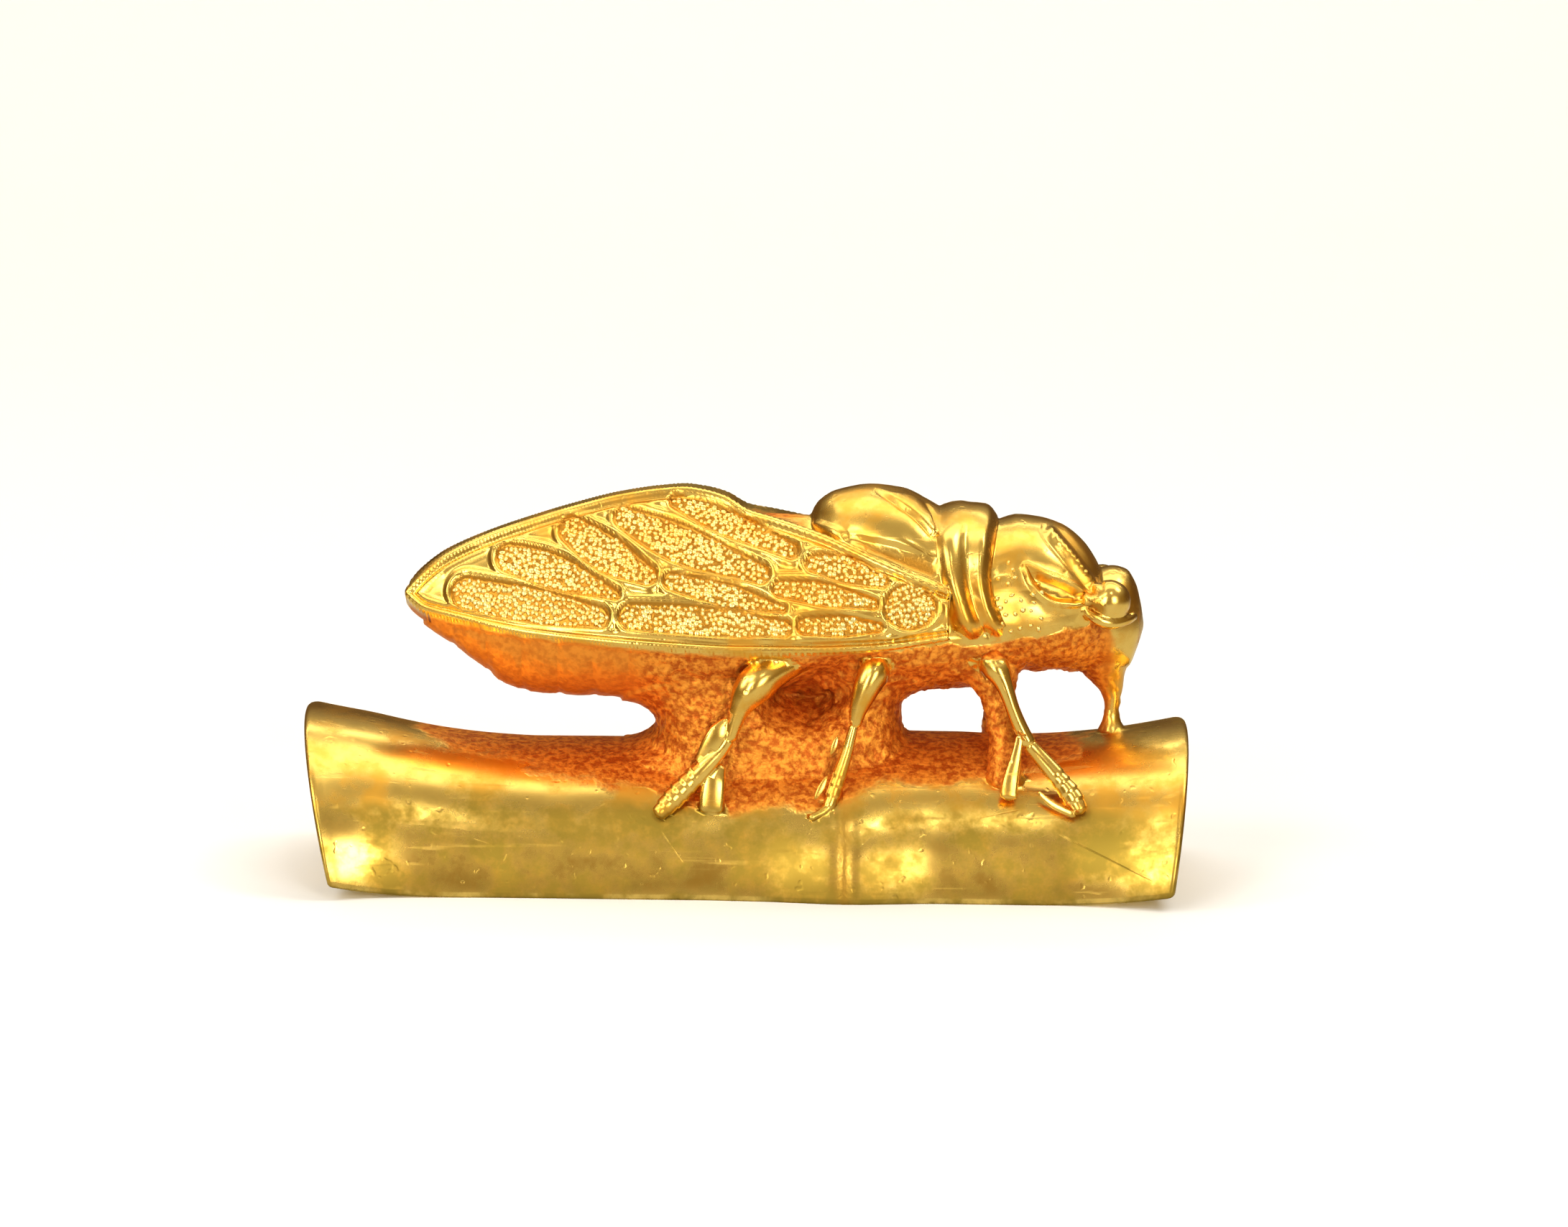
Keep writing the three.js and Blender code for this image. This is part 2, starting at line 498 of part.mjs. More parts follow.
/** Web between belly and stem, hollowed on each side. */
function web() {
  const middle = (WEB.frontX + WEB.rearX) / 2;
  const halfLength = (WEB.frontX - WEB.rearX) / 2;
  const [bellyLine, waistLine, trunkWidth] = [TRUNK.belly, TRUNK.waist, TRUNK.halfWidth].map(profile);
  const squared = (value) => Math.sign(value) * Math.abs(value) ** WEB.squareness;
  const arc = (share) => Math.sqrt(Math.max(0, 1 - share ** 2));
  const column = skin(SIDES.web, WEB_LEVELS.length - 1, (step, across, up) => {
    const z = WEB_LEVELS[step];
    const [along, out] = [squared(across), squared(up)];
    const waist = waistLine(middle);
    const drop = waist - bellyLine(middle + along * halfLength);
    const underside = waist - drop * arc((out * WEB.halfWidth) / trunkWidth(middle));
    const stemTop = STEM_MIDDLE.height * arc((out * WEB.halfWidth) / STEM_MIDDLE.halfWidth);
    const length = halfLength + WEB_FILLET.reach * fillet(Math.min(z - stemTop, underside - z));
    const lift = (z - WEB_SIDE_FILLET.lowZ) / (WEB_SIDE_FILLET.highZ - WEB_SIDE_FILLET.lowZ);
    const spreadOut = WEB.halfWidth + WEB_SIDE_FILLET.reach * fillet(lift * WEB_FILLET.height);
    const stemOut = STEM_MIDDLE.halfWidth * arc(z / STEM_MIDDLE.height);
    const width = Math.min(spreadOut, Math.max(stemOut, WEB.halfWidth) + WEB_STEM_LAP);
    return new THREE.Vector3(middle + along * length, out * width, z);
  });
  const hollows = pair(ball(WEB_HOLLOW, HOLLOW_FACES));
  return solid(column).subtract(hollows[0]).subtract(hollows[1]);
}

/** All six legs with their feet and struts. The far front leg stands steeper than the near one. */
function legs() {
  const leg = (stops) => limb(stops, SIDES.leg, stops.length, LEG_DEPTH);
  const strut = (stops) => limb(stops, SIDES.leg, stops.length - 1, STRUT_DEPTH);
  return [
    ...[REAR_THIGH, REAR_FOOT, MIDDLE_THIGH, MIDDLE_FOOT].flatMap((stops) => pair(leg(stops))),
    ...[REAR_PLATE, REAR_BLADE, FRONT_STRUT].flatMap((stops) => pair(strut(stops))),
    ...[FRONT_THIGH, FRONT_FOOT].map((stops) => solid(leg(stops), true)),
    ...[FAR_FRONT_THIGH, FAR_FRONT_FOOT].map((stops) => solid(leg(stops))),
  ];
}

const wingEdges = [WING_CREST, WING_MARGIN].flatMap((edge) => [
  profile(edge.map(([x, y]) => [x, y])),
  profile(edge.map(([x, , z]) => [x, z])),
]);

const casting = union([
  solid(stem()),
  solid(trunk()),
  solid(bodySkin(DOME, SIDES.dome, DOME_STATIONS)),
  ...pair(limb(DOME_STRIPE, SIDES.leg, DOME_STRIPE.length + 1)),
  solid(collar()),
  head(),
  web(),
  ...pair(limb(FRONT_WEB, SIDES.frontWeb, FRONT_WEB.length + 1)),
  ...legs(),
  wing(false),
  wing(true),
]).setTolerance(SEAM_TOLERANCE);

const { vertProperties, triVerts } = casting.getMesh();
const castingGeometry = new THREE.BufferGeometry();
castingGeometry.setAttribute("position", new THREE.BufferAttribute(vertProperties, 3));
castingGeometry.setIndex(new THREE.BufferAttribute(triVerts, 1));
castingGeometry.computeVertexNormals();

const cicada = new THREE.Mesh(castingGeometry, GOLD);
cicada.name = "cicada_on_bamboo";

const figurine = new THREE.Group();
figurine.add(cicada);

export default figurine;
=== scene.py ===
"""Gilt cast cicada clinging to a half-round length of bamboo.

Forms are built in millimetres with the same sizes as the part's source, fused into one casting,
and scaled to metres at the end. +X runs along the bamboo to the insect's head, +Z is up.
"""
import logging
import math
from dataclasses import dataclass, field
from enum import Enum, IntEnum

import bpy
import numpy as np
from mathutils import Matrix, Vector, bvhtree, kdtree


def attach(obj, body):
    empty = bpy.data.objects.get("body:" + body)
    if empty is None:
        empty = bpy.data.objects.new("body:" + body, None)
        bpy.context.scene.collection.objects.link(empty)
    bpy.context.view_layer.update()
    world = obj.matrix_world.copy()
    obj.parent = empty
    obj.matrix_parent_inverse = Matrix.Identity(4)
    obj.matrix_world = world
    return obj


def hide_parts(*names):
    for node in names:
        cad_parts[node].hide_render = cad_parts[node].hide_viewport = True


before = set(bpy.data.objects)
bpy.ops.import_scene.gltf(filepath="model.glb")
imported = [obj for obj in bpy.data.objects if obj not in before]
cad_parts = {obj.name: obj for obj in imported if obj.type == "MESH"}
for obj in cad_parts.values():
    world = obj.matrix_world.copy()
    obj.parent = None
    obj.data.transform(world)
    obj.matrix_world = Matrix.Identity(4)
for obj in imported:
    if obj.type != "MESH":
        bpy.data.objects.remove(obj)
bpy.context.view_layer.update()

LOG = logging.getLogger("cicada")
NODE = "cicada_on_bamboo"
MM = 0.001
RAY_SEED = 7
CORNER_PRIMES = (73856093, 19349663, 83492791)
SEED_PRIME = 2654435761
MIX_PRIME = 1274126177
LOW_BITS = 0x7FFFFFFF
VALUE_BITS = 0xFFFF
HALF_VALUE = 32767.5
STRIP_STEP = 0.06
STRIP_LEAST_STEPS = 12
FAR_AWAY = 99.0
AIM = (0.00206, 0.0, 0.01496)
RAW = "raw"
# attribute of tarnish, painted dark reflection on the stem and painted shade in the raw skin's hollows
TARNISH_SHADE_AND_REFLECTION = "tarnish_shade_and_reflection"
# attribute of unpolished metal and painted shade in recesses
UNPOLISHED_AND_SHADE = "unpolished_and_shade"
GRIT = "grit"
Pairs = tuple[tuple[float, ...], ...]
Range = tuple[float, float]


class Lumps(IntEnum):
    """Seeds of the random fields."""

    GRIT = 7
    FINE_GRIT = 8
    EDGE = 9
    FINE_EDGE = 10
    SWELLING = 11
    HAND = 12


Layers = tuple[tuple[float, float, Lumps], ...]


class Side(Enum):
    """The two sides of the middle plane."""

    NEAR = -1
    FAR = 1


@dataclass(frozen=True)
class Profile:
    """Smooth curve through (place, value) pairs that never overshoots them."""

    pairs: Pairs

    def __call__(self, place: np.ndarray | float) -> np.ndarray:
        """Values of the curve.

        Args:
            place: where to read it; outside the pairs the end values hold.

        Returns:
            The value at each place.
        """
        x, y = np.array(self.pairs, float).T
        slope = np.diff(y) / np.diff(x)
        before, after = slope[:-1], slope[1:]
        total = np.where(before * after > 0, before + after, 1.0)
        inner = np.where(before * after > 0, 2 * before * after / total, 0.0)
        tangent = np.concatenate(([slope[0]], inner, [slope[-1]]))
        i = np.clip(np.searchsorted(x, place, side="right") - 1, 0, len(x) - 2)
        span = x[i + 1] - x[i]
        t = np.clip((place - x[i]) / span, 0, 1)
        bend = tangent[i] * span * t * (1 - t) ** 2 - tangent[i + 1] * span * t * t * (1 - t)
        return y[i] + (y[i + 1] - y[i]) * t * t * (3 - 2 * t) + bend


def swell(place: np.ndarray, centre: float, width: float) -> np.ndarray:
    """Bell-shaped swell of height 1 round a centre."""
    return np.exp(-(((place - centre) / width) ** 2))


def ramp(value: np.ndarray, low: float, high: float) -> np.ndarray:
    """Smooth rise from 0 at low to 1 at high."""
    t = np.clip((value - low) / (high - low), 0, 1)
    return t * t * (3 - 2 * t)


def lattice_noise(points: np.ndarray, size: float, seed: int) -> np.ndarray:
    """Smooth random field.

    Args:
        points: places, one row each.
        size: width of its lumps, in the units of the points.
        seed: which field.

    Returns:
        A value from -1 to 1 at each point.
    """
    scaled = points / size
    cell = np.floor(scaled).astype(np.int64)
    part = scaled - cell
    blend = part * part * (3 - 2 * part)
    total = np.zeros(len(points))
    for corner in range(8):
        offset = np.array([corner & 1, corner >> 1 & 1, corner >> 2 & 1])
        key = (cell + offset) * np.array(CORNER_PRIMES) + seed * SEED_PRIME
        mixed = (key[:, 0] ^ key[:, 1] ^ key[:, 2]) & LOW_BITS
        mixed = (mixed ^ (mixed >> 13)) * MIX_PRIME & LOW_BITS
        value = ((mixed ^ (mixed >> 16)) & VALUE_BITS) / HALF_VALUE - 1
        weight = np.where(offset, blend, 1 - blend).prod(axis=1)
        total += value * weight
    return total


def strip(x: np.ndarray, z: np.ndarray, stops: Pairs) -> tuple[np.ndarray, np.ndarray]:
    """Distance outside a curved strip seen from the side, and how far along it.

    Args:
        x: places along the figurine.
        z: heights.
        stops: (along, up, half width) of the strip's middle line.

    Returns:
        Distance beyond the strip's edge, negative inside, and the run along its line.
    """
    line = np.array(stops, float)
    run = np.concatenate(([0], np.cumsum(np.hypot(*np.diff(line[:, :2], axis=0).T))))
    along = np.linspace(0, run[-1], max(STRIP_LEAST_STEPS, int(run[-1] / STRIP_STEP)))
    at_x, at_z, reach = (Profile(tuple(zip(run, line[:, k])))(along) for k in range(3))
    nearest, where = np.full(x.shape, FAR_AWAY), np.zeros(x.shape)
    for centre_x, centre_z, half, place in zip(at_x, at_z, reach, along):
        away = np.hypot(x - centre_x, z - centre_z) - half
        where = np.where(away < nearest, place, where)
        nearest = np.minimum(nearest, away)
    return nearest, where


@dataclass
class Shell:
    """Closed triangle mesh in millimetres."""

    points: np.ndarray
    faces: np.ndarray

    def volume(self) -> float:
        """Signed volume."""
        a, b, c = (self.points[self.faces[:, k]] for k in range(3))
        return float((a * np.cross(b, c)).sum() / 6)

    def outward(self) -> "Shell":
        """The same shell with its faces pointing out."""
        return self if self.volume() > 0 else Shell(self.points, self.faces[:, ::-1])

    def on(self, side: Side) -> "Shell":
        """The shell, mirrored for the near side."""
        if side is Side.FAR:
            return self
        return Shell(self.points * np.array([1, -1, 1]), self.faces[:, ::-1])


def lofted(rings: np.ndarray) -> Shell:
    """Closed skin over rings of points, with a fan at each end.

    Args:
        rings: array of stations by points by 3.

    Returns:
        The skin, facing outwards.
    """
    count, sides, _ = rings.shape
    index = np.arange(count * sides).reshape(count, sides)
    a, b = index[:-1], index[1:]
    a_next, b_next = np.roll(a, -1, axis=1), np.roll(b, -1, axis=1)
    walls = [np.stack(t, axis=-1).reshape(-1, 3) for t in ((a, b, b_next), (a, b_next, a_next))]
    first, last = count * sides, count * sides + 1
    start, end = index[0], index[-1]
    caps = [
        np.stack((start, np.roll(start, -1), np.full(sides, first)), axis=-1),
        np.stack((np.roll(end, -1), end, np.full(sides, last)), axis=-1),
    ]
    middles = np.array([rings[0].mean(axis=0), rings[-1].mean(axis=0)])
    points = np.concatenate((rings.reshape(-1, 3), middles))
    return Shell(points, np.concatenate(walls + caps)).outward()


def to_mesh(name: str, shell: Shell) -> bpy.types.Mesh:
    """Blender mesh of a shell, still in millimetres."""
    mesh = bpy.data.meshes.new(name)
    mesh.vertices.add(len(shell.points))
    mesh.vertices.foreach_set("co", shell.points.astype(np.float32).ravel())
    mesh.loops.add(len(shell.faces) * 3)
    mesh.loops.foreach_set("vertex_index", shell.faces.astype(np.int32).ravel())
    mesh.polygons.add(len(shell.faces))
    mesh.polygons.foreach_set("loop_start", np.arange(0, len(shell.faces) * 3, 3, dtype=np.int32))
    mesh.update(calc_edges=True)
    mesh.validate()
    return mesh


def to_object(name: str, mesh: bpy.types.Mesh) -> bpy.types.Object:
    """Object in the scene that shows a mesh."""
    made = bpy.data.objects.new(name, mesh)
    bpy.context.scene.collection.objects.link(made)
    return made


def merged(shells: list[Shell]) -> Shell:
    """Several shells as one."""
    starts = np.cumsum([0] + [len(s.points) for s in shells[:-1]])
    return Shell(np.concatenate([s.points for s in shells]),
                 np.concatenate([s.faces + start for s, start in zip(shells, starts)]))


def joined(name: str, shells: list[Shell]) -> bpy.types.Object:
    """One object that holds several shells."""
    return to_object(name, to_mesh(name, merged(shells)))


def settled(made: bpy.types.Object) -> bpy.types.Object:
    """The object with its modifiers turned into plain mesh."""
    graph = bpy.context.evaluated_depsgraph_get()
    mesh = bpy.data.meshes.new_from_object(made.evaluated_get(graph), depsgraph=graph)
    old = made.data
    made.modifiers.clear()
    made.data = mesh
    bpy.data.meshes.remove(old)
    return made


def united(parts: list[bpy.types.Object]) -> bpy.types.Object:
    """One closed mesh of several overlapping ones; the first object keeps its name."""
    made = parts[0]
    for other in parts[1:]:
        weld = made.modifiers.new("weld", "BOOLEAN")
        weld.operation = "UNION"
        weld.solver = "MANIFOLD"
        weld.object = other
        settled(made)
        bpy.data.objects.remove(other)
    return made


def points_of(mesh: bpy.types.Mesh) -> np.ndarray:
    """Places of a mesh's vertices."""
    flat = np.empty(len(mesh.vertices) * 3, np.float32)
    mesh.vertices.foreach_get("co", flat)
    return flat.reshape(-1, 3).astype(float)


def normals_of(mesh: bpy.types.Mesh) -> np.ndarray:
    """Normals of a mesh's vertices."""
    flat = np.empty(len(mesh.vertices) * 3, np.float32)
    mesh.vertex_normals.foreach_get("vector", flat)
    return flat.reshape(-1, 3).astype(float)


def move_points(mesh: bpy.types.Mesh, points: np.ndarray) -> None:
    """Puts a mesh's vertices at new places."""
    mesh.vertices.foreach_set("co", points.astype(np.float32).ravel())
    mesh.update()


@dataclass
class Limb:
    """Tapered limb along a smooth path of (along, out, up, half width) stops."""

    stops: Pairs
    depth: float = 0.9
    keenness: float = 1.0
    sides: int = 14
    spacing: float = 0.15
    end_round: float = 0.5
    end_least: float = 0.02
    least_rings: int = 6
    notched: Range = (0.4, 0.55)

    def path(self) -> tuple[np.ndarray, np.ndarray]:
        """Centre line and half widths.

        Returns:
            Points along the limb, and the half width at each.
        """
        stops = np.array(self.stops, float)
        padded = np.vstack((2 * stops[0] - stops[1], stops, 2 * stops[-1] - stops[-2]))
        length = np.linalg.norm(np.diff(stops[:, :3], axis=0), axis=1).sum()
        t = np.linspace(0, len(stops) - 1, max(self.least_rings, int(length / self.spacing)))
        i = np.minimum(t.astype(int), len(stops) - 2)
        u = (t - i)[:, None]
        p0, p1, p2, p3 = (padded[i + k] for k in range(4))
        curve = 0.5 * (2 * p1 + (p2 - p0) * u + (2 * p0 - 5 * p1 + 4 * p2 - p3) * u**2
                       + (3 * p1 - p0 - 3 * p2 + p3) * u**3)
        return curve[:, :3], curve[:, 3]

    def shell(self, notch: tuple[float, float] = (1.0, 0.0)) -> Shell:
        """Swept skin with rounded ends.

        Args:
            notch: pitch and height of notches across the limb's outer half.

        Returns:
            The limb's closed skin.
        """
        centre, width = self.path()
        tangent = np.gradient(centre, axis=0)
        tangent /= np.linalg.norm(tangent, axis=1)[:, None]
        outward = np.array([0.0, 1.0, 0.0])
        side = outward - tangent * (tangent @ outward)[:, None]
        side /= np.linalg.norm(side, axis=1)[:, None]
        rise = np.cross(tangent, side)
        run = np.concatenate(([0], np.cumsum(np.linalg.norm(np.diff(centre, axis=0), axis=1))))
        to_end = np.minimum(run, run[-1] - run) / (self.end_round * width)
        width = width * np.sqrt(np.clip(1 - (1 - np.clip(to_end, self.end_least, 1)) ** 2, 0, 1))
        width = width * (1 - notch[1] * (1 - (run / notch[0]) % 1) * ramp(run / run[-1], *self.notched))
        turn = np.linspace(0, 2 * math.pi, self.sides, endpoint=False)
        across, up = (np.sign(f) * np.abs(f) ** self.keenness for f in (np.cos(turn), np.sin(turn)))
        rings = (centre[:, None] + side[:, None] * (across[None, :, None] * width[:, None, None] * self.depth)
                 + rise[:, None] * (up[None, :, None] * width[:, None, None]))
        return lofted(rings)


@dataclass
class Stem:
    """Half-round bamboo stem with flared ends and one node."""

    length: float = 50.0
    height: Pairs = ((-25, 8.6), (-22, 8.55), (-19.5, 8.3), (-17, 8.0), (-14.5, 7.75), (-11.5, 7.62),
                     (-2, 7.65), (2.5, 7.75), (5.6, 7.95), (9, 8.2), (12, 8.2), (15, 8.1), (20, 8.25),
                     (25, 8.4))
    half_width: Pairs = ((-25, 9.29), (-23.5, 8.86), (-21, 8.35), (-18, 8.0), (-13, 7.78), (-2, 7.76),
                         (1, 7.86), (3.2, 8.14), (5.6, 8.4), (8.2, 8.12), (11, 7.84), (17.5, 7.85),
                         (20.5, 8.2), (23.3, 8.75), (25, 9.2))
    mid_height: float = 7.68
    mid_half_width: float = 7.8
    rear_lean: float = 2.0
    front_lean: float = 1.1
    lean_power: float = 0.9
    end_rise: float = 0.85
    rise_length: float = 9.0
    edge: float = 0.55
    node_x: float = 5.6
    node_groove: float = 0.035
    node_groove_width: float = 0.34
    node_groove_reach: float = 0.38
    node_span: float = 0.9
    node_steps: int = 31
    plain_steps: int = 96
    step_gap: float = 0.1
    corner_steps: int = 6
    corner_rise: float = 0.5
    arch_steps: int = 76
    flat_steps: int = 8
    flare_power: int = 5
    hand_height: float = 0.03
    hand_size: float = 2.6
    hand_reach: int = 8
    open_end: float = 22.0
    cover_edge: float = 1.1
    cover_blend: float = 0.06

    def grooves(self, x: np.ndarray) -> np.ndarray:
        """Depth of the two grooves round the node."""
        places = (self.node_x - self.node_groove_reach, self.node_x + self.node_groove_reach)
        return self.node_groove * sum(swell(x, place, self.node_groove_width) for place in places)

    def stations(self) -> tuple[np.ndarray, np.ndarray]:
        """Places of the rings, and how far each is drawn in at the rounded end edges."""
        half = self.length / 2
        turn = np.linspace(0, math.pi / 2, self.corner_steps)
        corner = half - self.edge * (1 - np.sin(turn))
        drawn_in = self.edge * (1 - np.cos(turn))
        node = np.linspace(self.node_x - self.node_span, self.node_x + self.node_span, self.node_steps)
        plain = np.linspace(-half + self.edge, half - self.edge, self.plain_steps)[1:-1]
        plain = plain[(plain < node[0] - self.step_gap) | (plain > node[-1] + self.step_gap)]
        x = np.concatenate((-corner[::-1], np.sort(np.concatenate((plain, node))), corner))
        inset = np.concatenate((drawn_in[::-1], np.zeros(len(plain) + len(node)), drawn_in))
        return x, inset

    def covers(self, points: np.ndarray) -> np.ndarray:
        """Share of each point that lies on the stem's own surface."""
        x, y, z = points.T
        out = np.hypot(y / Profile(self.half_width)(x), z / Profile(self.height)(x))
        return np.where(np.abs(x) > self.open_end, 1.0, ramp(self.cover_edge - out, 0, self.cover_blend))

    def top(self, y: np.ndarray) -> np.ndarray:
        """Height of the stem's surface under the insect at each distance from the middle plane."""
        return self.mid_height * np.sqrt(np.clip(1 - (y / self.mid_half_width) ** 2, 0, 1))

    def out(self, z: np.ndarray) -> np.ndarray:
        """Distance of the stem's surface from the middle plane at each height under the insect."""
        return self.mid_half_width * np.sqrt(np.clip(1 - (z / self.mid_height) ** 2, 0, 1))

    def shell(self) -> Shell:
        """Closed skin of the stem."""
        x, inset = self.stations()
        half = self.length / 2
        arch = np.linspace(0, math.pi, self.arch_steps + 1)
        flat = np.linspace(-1, 1, self.flat_steps + 2)[1:-1]
        across = np.concatenate((np.cos(arch), flat))
        up = np.concatenate((np.sin(arch), np.zeros(self.flat_steps)))
        drawn_in = (inset + self.grooves(x))[:, None]
        y = (Profile(self.half_width)(x)[:, None] - drawn_in) * across
        past = np.maximum(0, (np.abs(x) - half + self.rise_length) / self.rise_length)[:, None]
        foot = self.end_rise * past**2 + self.corner_rise * inset[:, None]
        height = Profile(self.height)(x)[:, None] - drawn_in
        along = np.broadcast_to(x[:, None], y.shape)
        plain = np.stack((along.ravel(), y.ravel(), (height * up).ravel()), -1)
        hand = self.hand_height * lattice_noise(plain, self.hand_size, Lumps.HAND).reshape(y.shape)
        uneven = 1 + hand / self.hand_reach
        reach = (np.where(x < 0, self.rear_lean, self.front_lean) * (x / half) ** self.flare_power)[:, None]
        lean = reach * (1 - np.clip(up, 0, 1)) ** self.lean_power
        return lofted(np.stack((x[:, None] - lean, y * uneven, foot + height * up * uneven), axis=-1))


@dataclass
class Body:
    """Rounded body between a crest and a belly line."""

    crest: Pairs
    belly: Pairs
    half_width: Pairs
    waist: Pairs
    roof: float = 0.0
    sides: int = 140
    spacing: float = 0.1

    def relief(self, x: np.ndarray, turn: np.ndarray) -> np.ndarray:
        """Carving over the plain body, outward, at each station and turn."""
        return np.zeros((len(x), len(turn)))

    def shell(self) -> Shell:
        """Closed skin of the body, narrowed towards its crest by the roof share."""
        start, end = self.crest[0][0], self.crest[-1][0]
        x = np.linspace(start, end, int((end - start) / self.spacing))
        turn = np.linspace(0, 2 * math.pi, self.sides, endpoint=False)
        relief = self.relief(x, turn)
        waist = Profile(self.waist)(x)[:, None]
        upper = Profile(self.crest)(x)[:, None] - waist
        lower = waist - Profile(self.belly)(x)[:, None]
        across, up = np.sin(turn)[None], np.cos(turn)[None]
        y = across * (Profile(self.half_width)(x)[:, None] * (1 - self.roof * np.maximum(up, 0)) + relief)
        z = waist + up * (np.where(up > 0, upper, lower) + relief)
        return lofted(np.stack((np.broadcast_to(x[:, None], y.shape), y, z), axis=-1))


@dataclass
class Trunk(Body):
    """Abdomen with its rings, and the thorax under the wings."""

    crest: Pairs = ((-18.3, 15.4), (-16, 17.2), (-10, 19.8), (-4, 21.0), (0, 20.75), (4, 20.6), (15.5, 19.3))
    belly: Pairs = ((-18.3, 14.1), (-16.3, 12.73), (-14.7, 11.53), (-13.9, 10.93), (-12.2, 10.35),
                    (-9.8, 10.2), (-7.3, 10.15), (-5, 9.9), (5, 10.45), (9, 10.95), (13, 10.95),
                    (15.5, 11.85))
    half_width: Pairs = ((-18.3, 1.3), (-16, 2.6), (-12, 4.0), (-8, 4.9), (-3, 5.4), (4, 5.6), (9, 5.3),
                         (11.5, 4.9), (15.5, 4.3))
    waist: Pairs = ((-18.3, 14.7), (-16, 14.5), (15.5, 14.5))
    roof: float = 0.55
    ring_first: float = -16.6
    ring_pitch: float = 2.0
    ring_last: float = -4.6
    ring_depth: float = 0.1
    ring_width: float = 0.16
    ring_swelling: float = 0.3
    ring_swelling_share: float = 0.6

    def relief(self, x: np.ndarray, turn: np.ndarray) -> np.ndarray:
        """Grooves between the abdomen's rings, each ring swelling a little between them."""
        phase = ((x - self.ring_first) / self.ring_pitch) % 1
        away = np.minimum(phase, 1 - phase) * self.ring_pitch
        swelling = self.ring_swelling * ramp(away, 0, self.ring_swelling_share * self.ring_pitch)
        groove = swell(away, 0, self.ring_width) - swelling
        share = ramp(self.ring_last - x, 0, 1)
        return -self.ring_depth * np.repeat((groove * share)[:, None], len(turn), axis=1)


@dataclass
class Dome(Body):
    """Domed back of the thorax."""

    crest: Pairs = ((3.35, 19.6), (3.6, 20.9), (4.05, 21.55), (4.95, 22.08), (6.9, 22.44), (8.6, 22.26),
                    (9.9, 21.7), (11.6, 20.7))
    belly: Pairs = ((3.35, 14.0), (11.6, 14.0))
    half_width: Pairs = ((3.35, 1.3), (3.8, 2.5), (4.9, 3.8), (7.3, 4.75), (9.5, 5.15), (11.6, 5.0))
    waist: Pairs = ((3.35, 16.0), (11.6, 16.0))


@dataclass
class Collar(Body):
    """Collar band: a broad ridge and a narrow one with a furrow between, rolled over at the top."""

    crest: Pairs = ((-1, 20.85), (-0.6, 21.25), (0, 21.5), (0.6, 21.3), (1, 20.75))
    belly: Pairs = ((-1, 13.8), (1, 13.9))
    half_width: Pairs = ((-1, 5.0), (-0.4, 5.3), (1, 5.05))
    waist: Pairs = ((-1, 15.6), (1, 15.6))
    spacing: float = 0.04
    middle: Pairs = ((13.8, 13.4), (14.6, 13.15), (16.5, 12.4), (18.3, 12.0), (19.8, 11.95), (21.2, 12.25))
    reach: Pairs = ((13.8, 1.5), (14.6, 1.45), (16.5, 1.3), (18.3, 1.5), (20, 1.85), (21.2, 1.95))
    ridges: Pairs = ((-0.48, 0.42, 0.42), (0.62, 0.26, 0.34))
    furrow: tuple[float, ...] = (0.12, 0.14, -0.16)
    crown_fade: float = 0.75
    crown_turn: Range = (0.7, 0.97)

    def relief(self, x: np.ndarray, turn: np.ndarray) -> np.ndarray:
        """Two ridges and the furrow between them, dying out over the crest."""
        height = sum(rise * swell(x, place, width) for place, width, rise in self.ridges + (self.furrow,))
        crown = 1 - self.crown_fade * ramp(np.cos(turn), *self.crown_turn)
        return height[:, None] * crown[None]

    def shell(self) -> Shell:
        """The band, bowed and widened by its height."""
        made = super().shell()
        x, z = made.points[:, 0], made.points[:, 2]
        made.points[:, 0] = Profile(self.middle)(z) + x * Profile(self.reach)(z)
        return made.outward()


@dataclass
class Face(Body):
    """Blunt face between the eyes."""

    crest: Pairs = ((19.0, 17.5), (19.8, 17.8), (20.65, 17.98), (21.4, 17.8), (21.95, 17.0), (22.28, 15.8),
                    (22.42, 14.9))
    belly: Pairs = ((19.0, 12.7), (20.6, 12.2), (21.6, 12.2), (22.1, 13.3), (22.42, 14.4))
    half_width: Pairs = ((19.0, 2.9), (20.6, 2.6), (21.5, 2.0), (22.1, 1.3), (22.42, 0.5))
    waist: Pairs = ((19.0, 14.7), (22.42, 14.7))
    spacing: float = 0.05


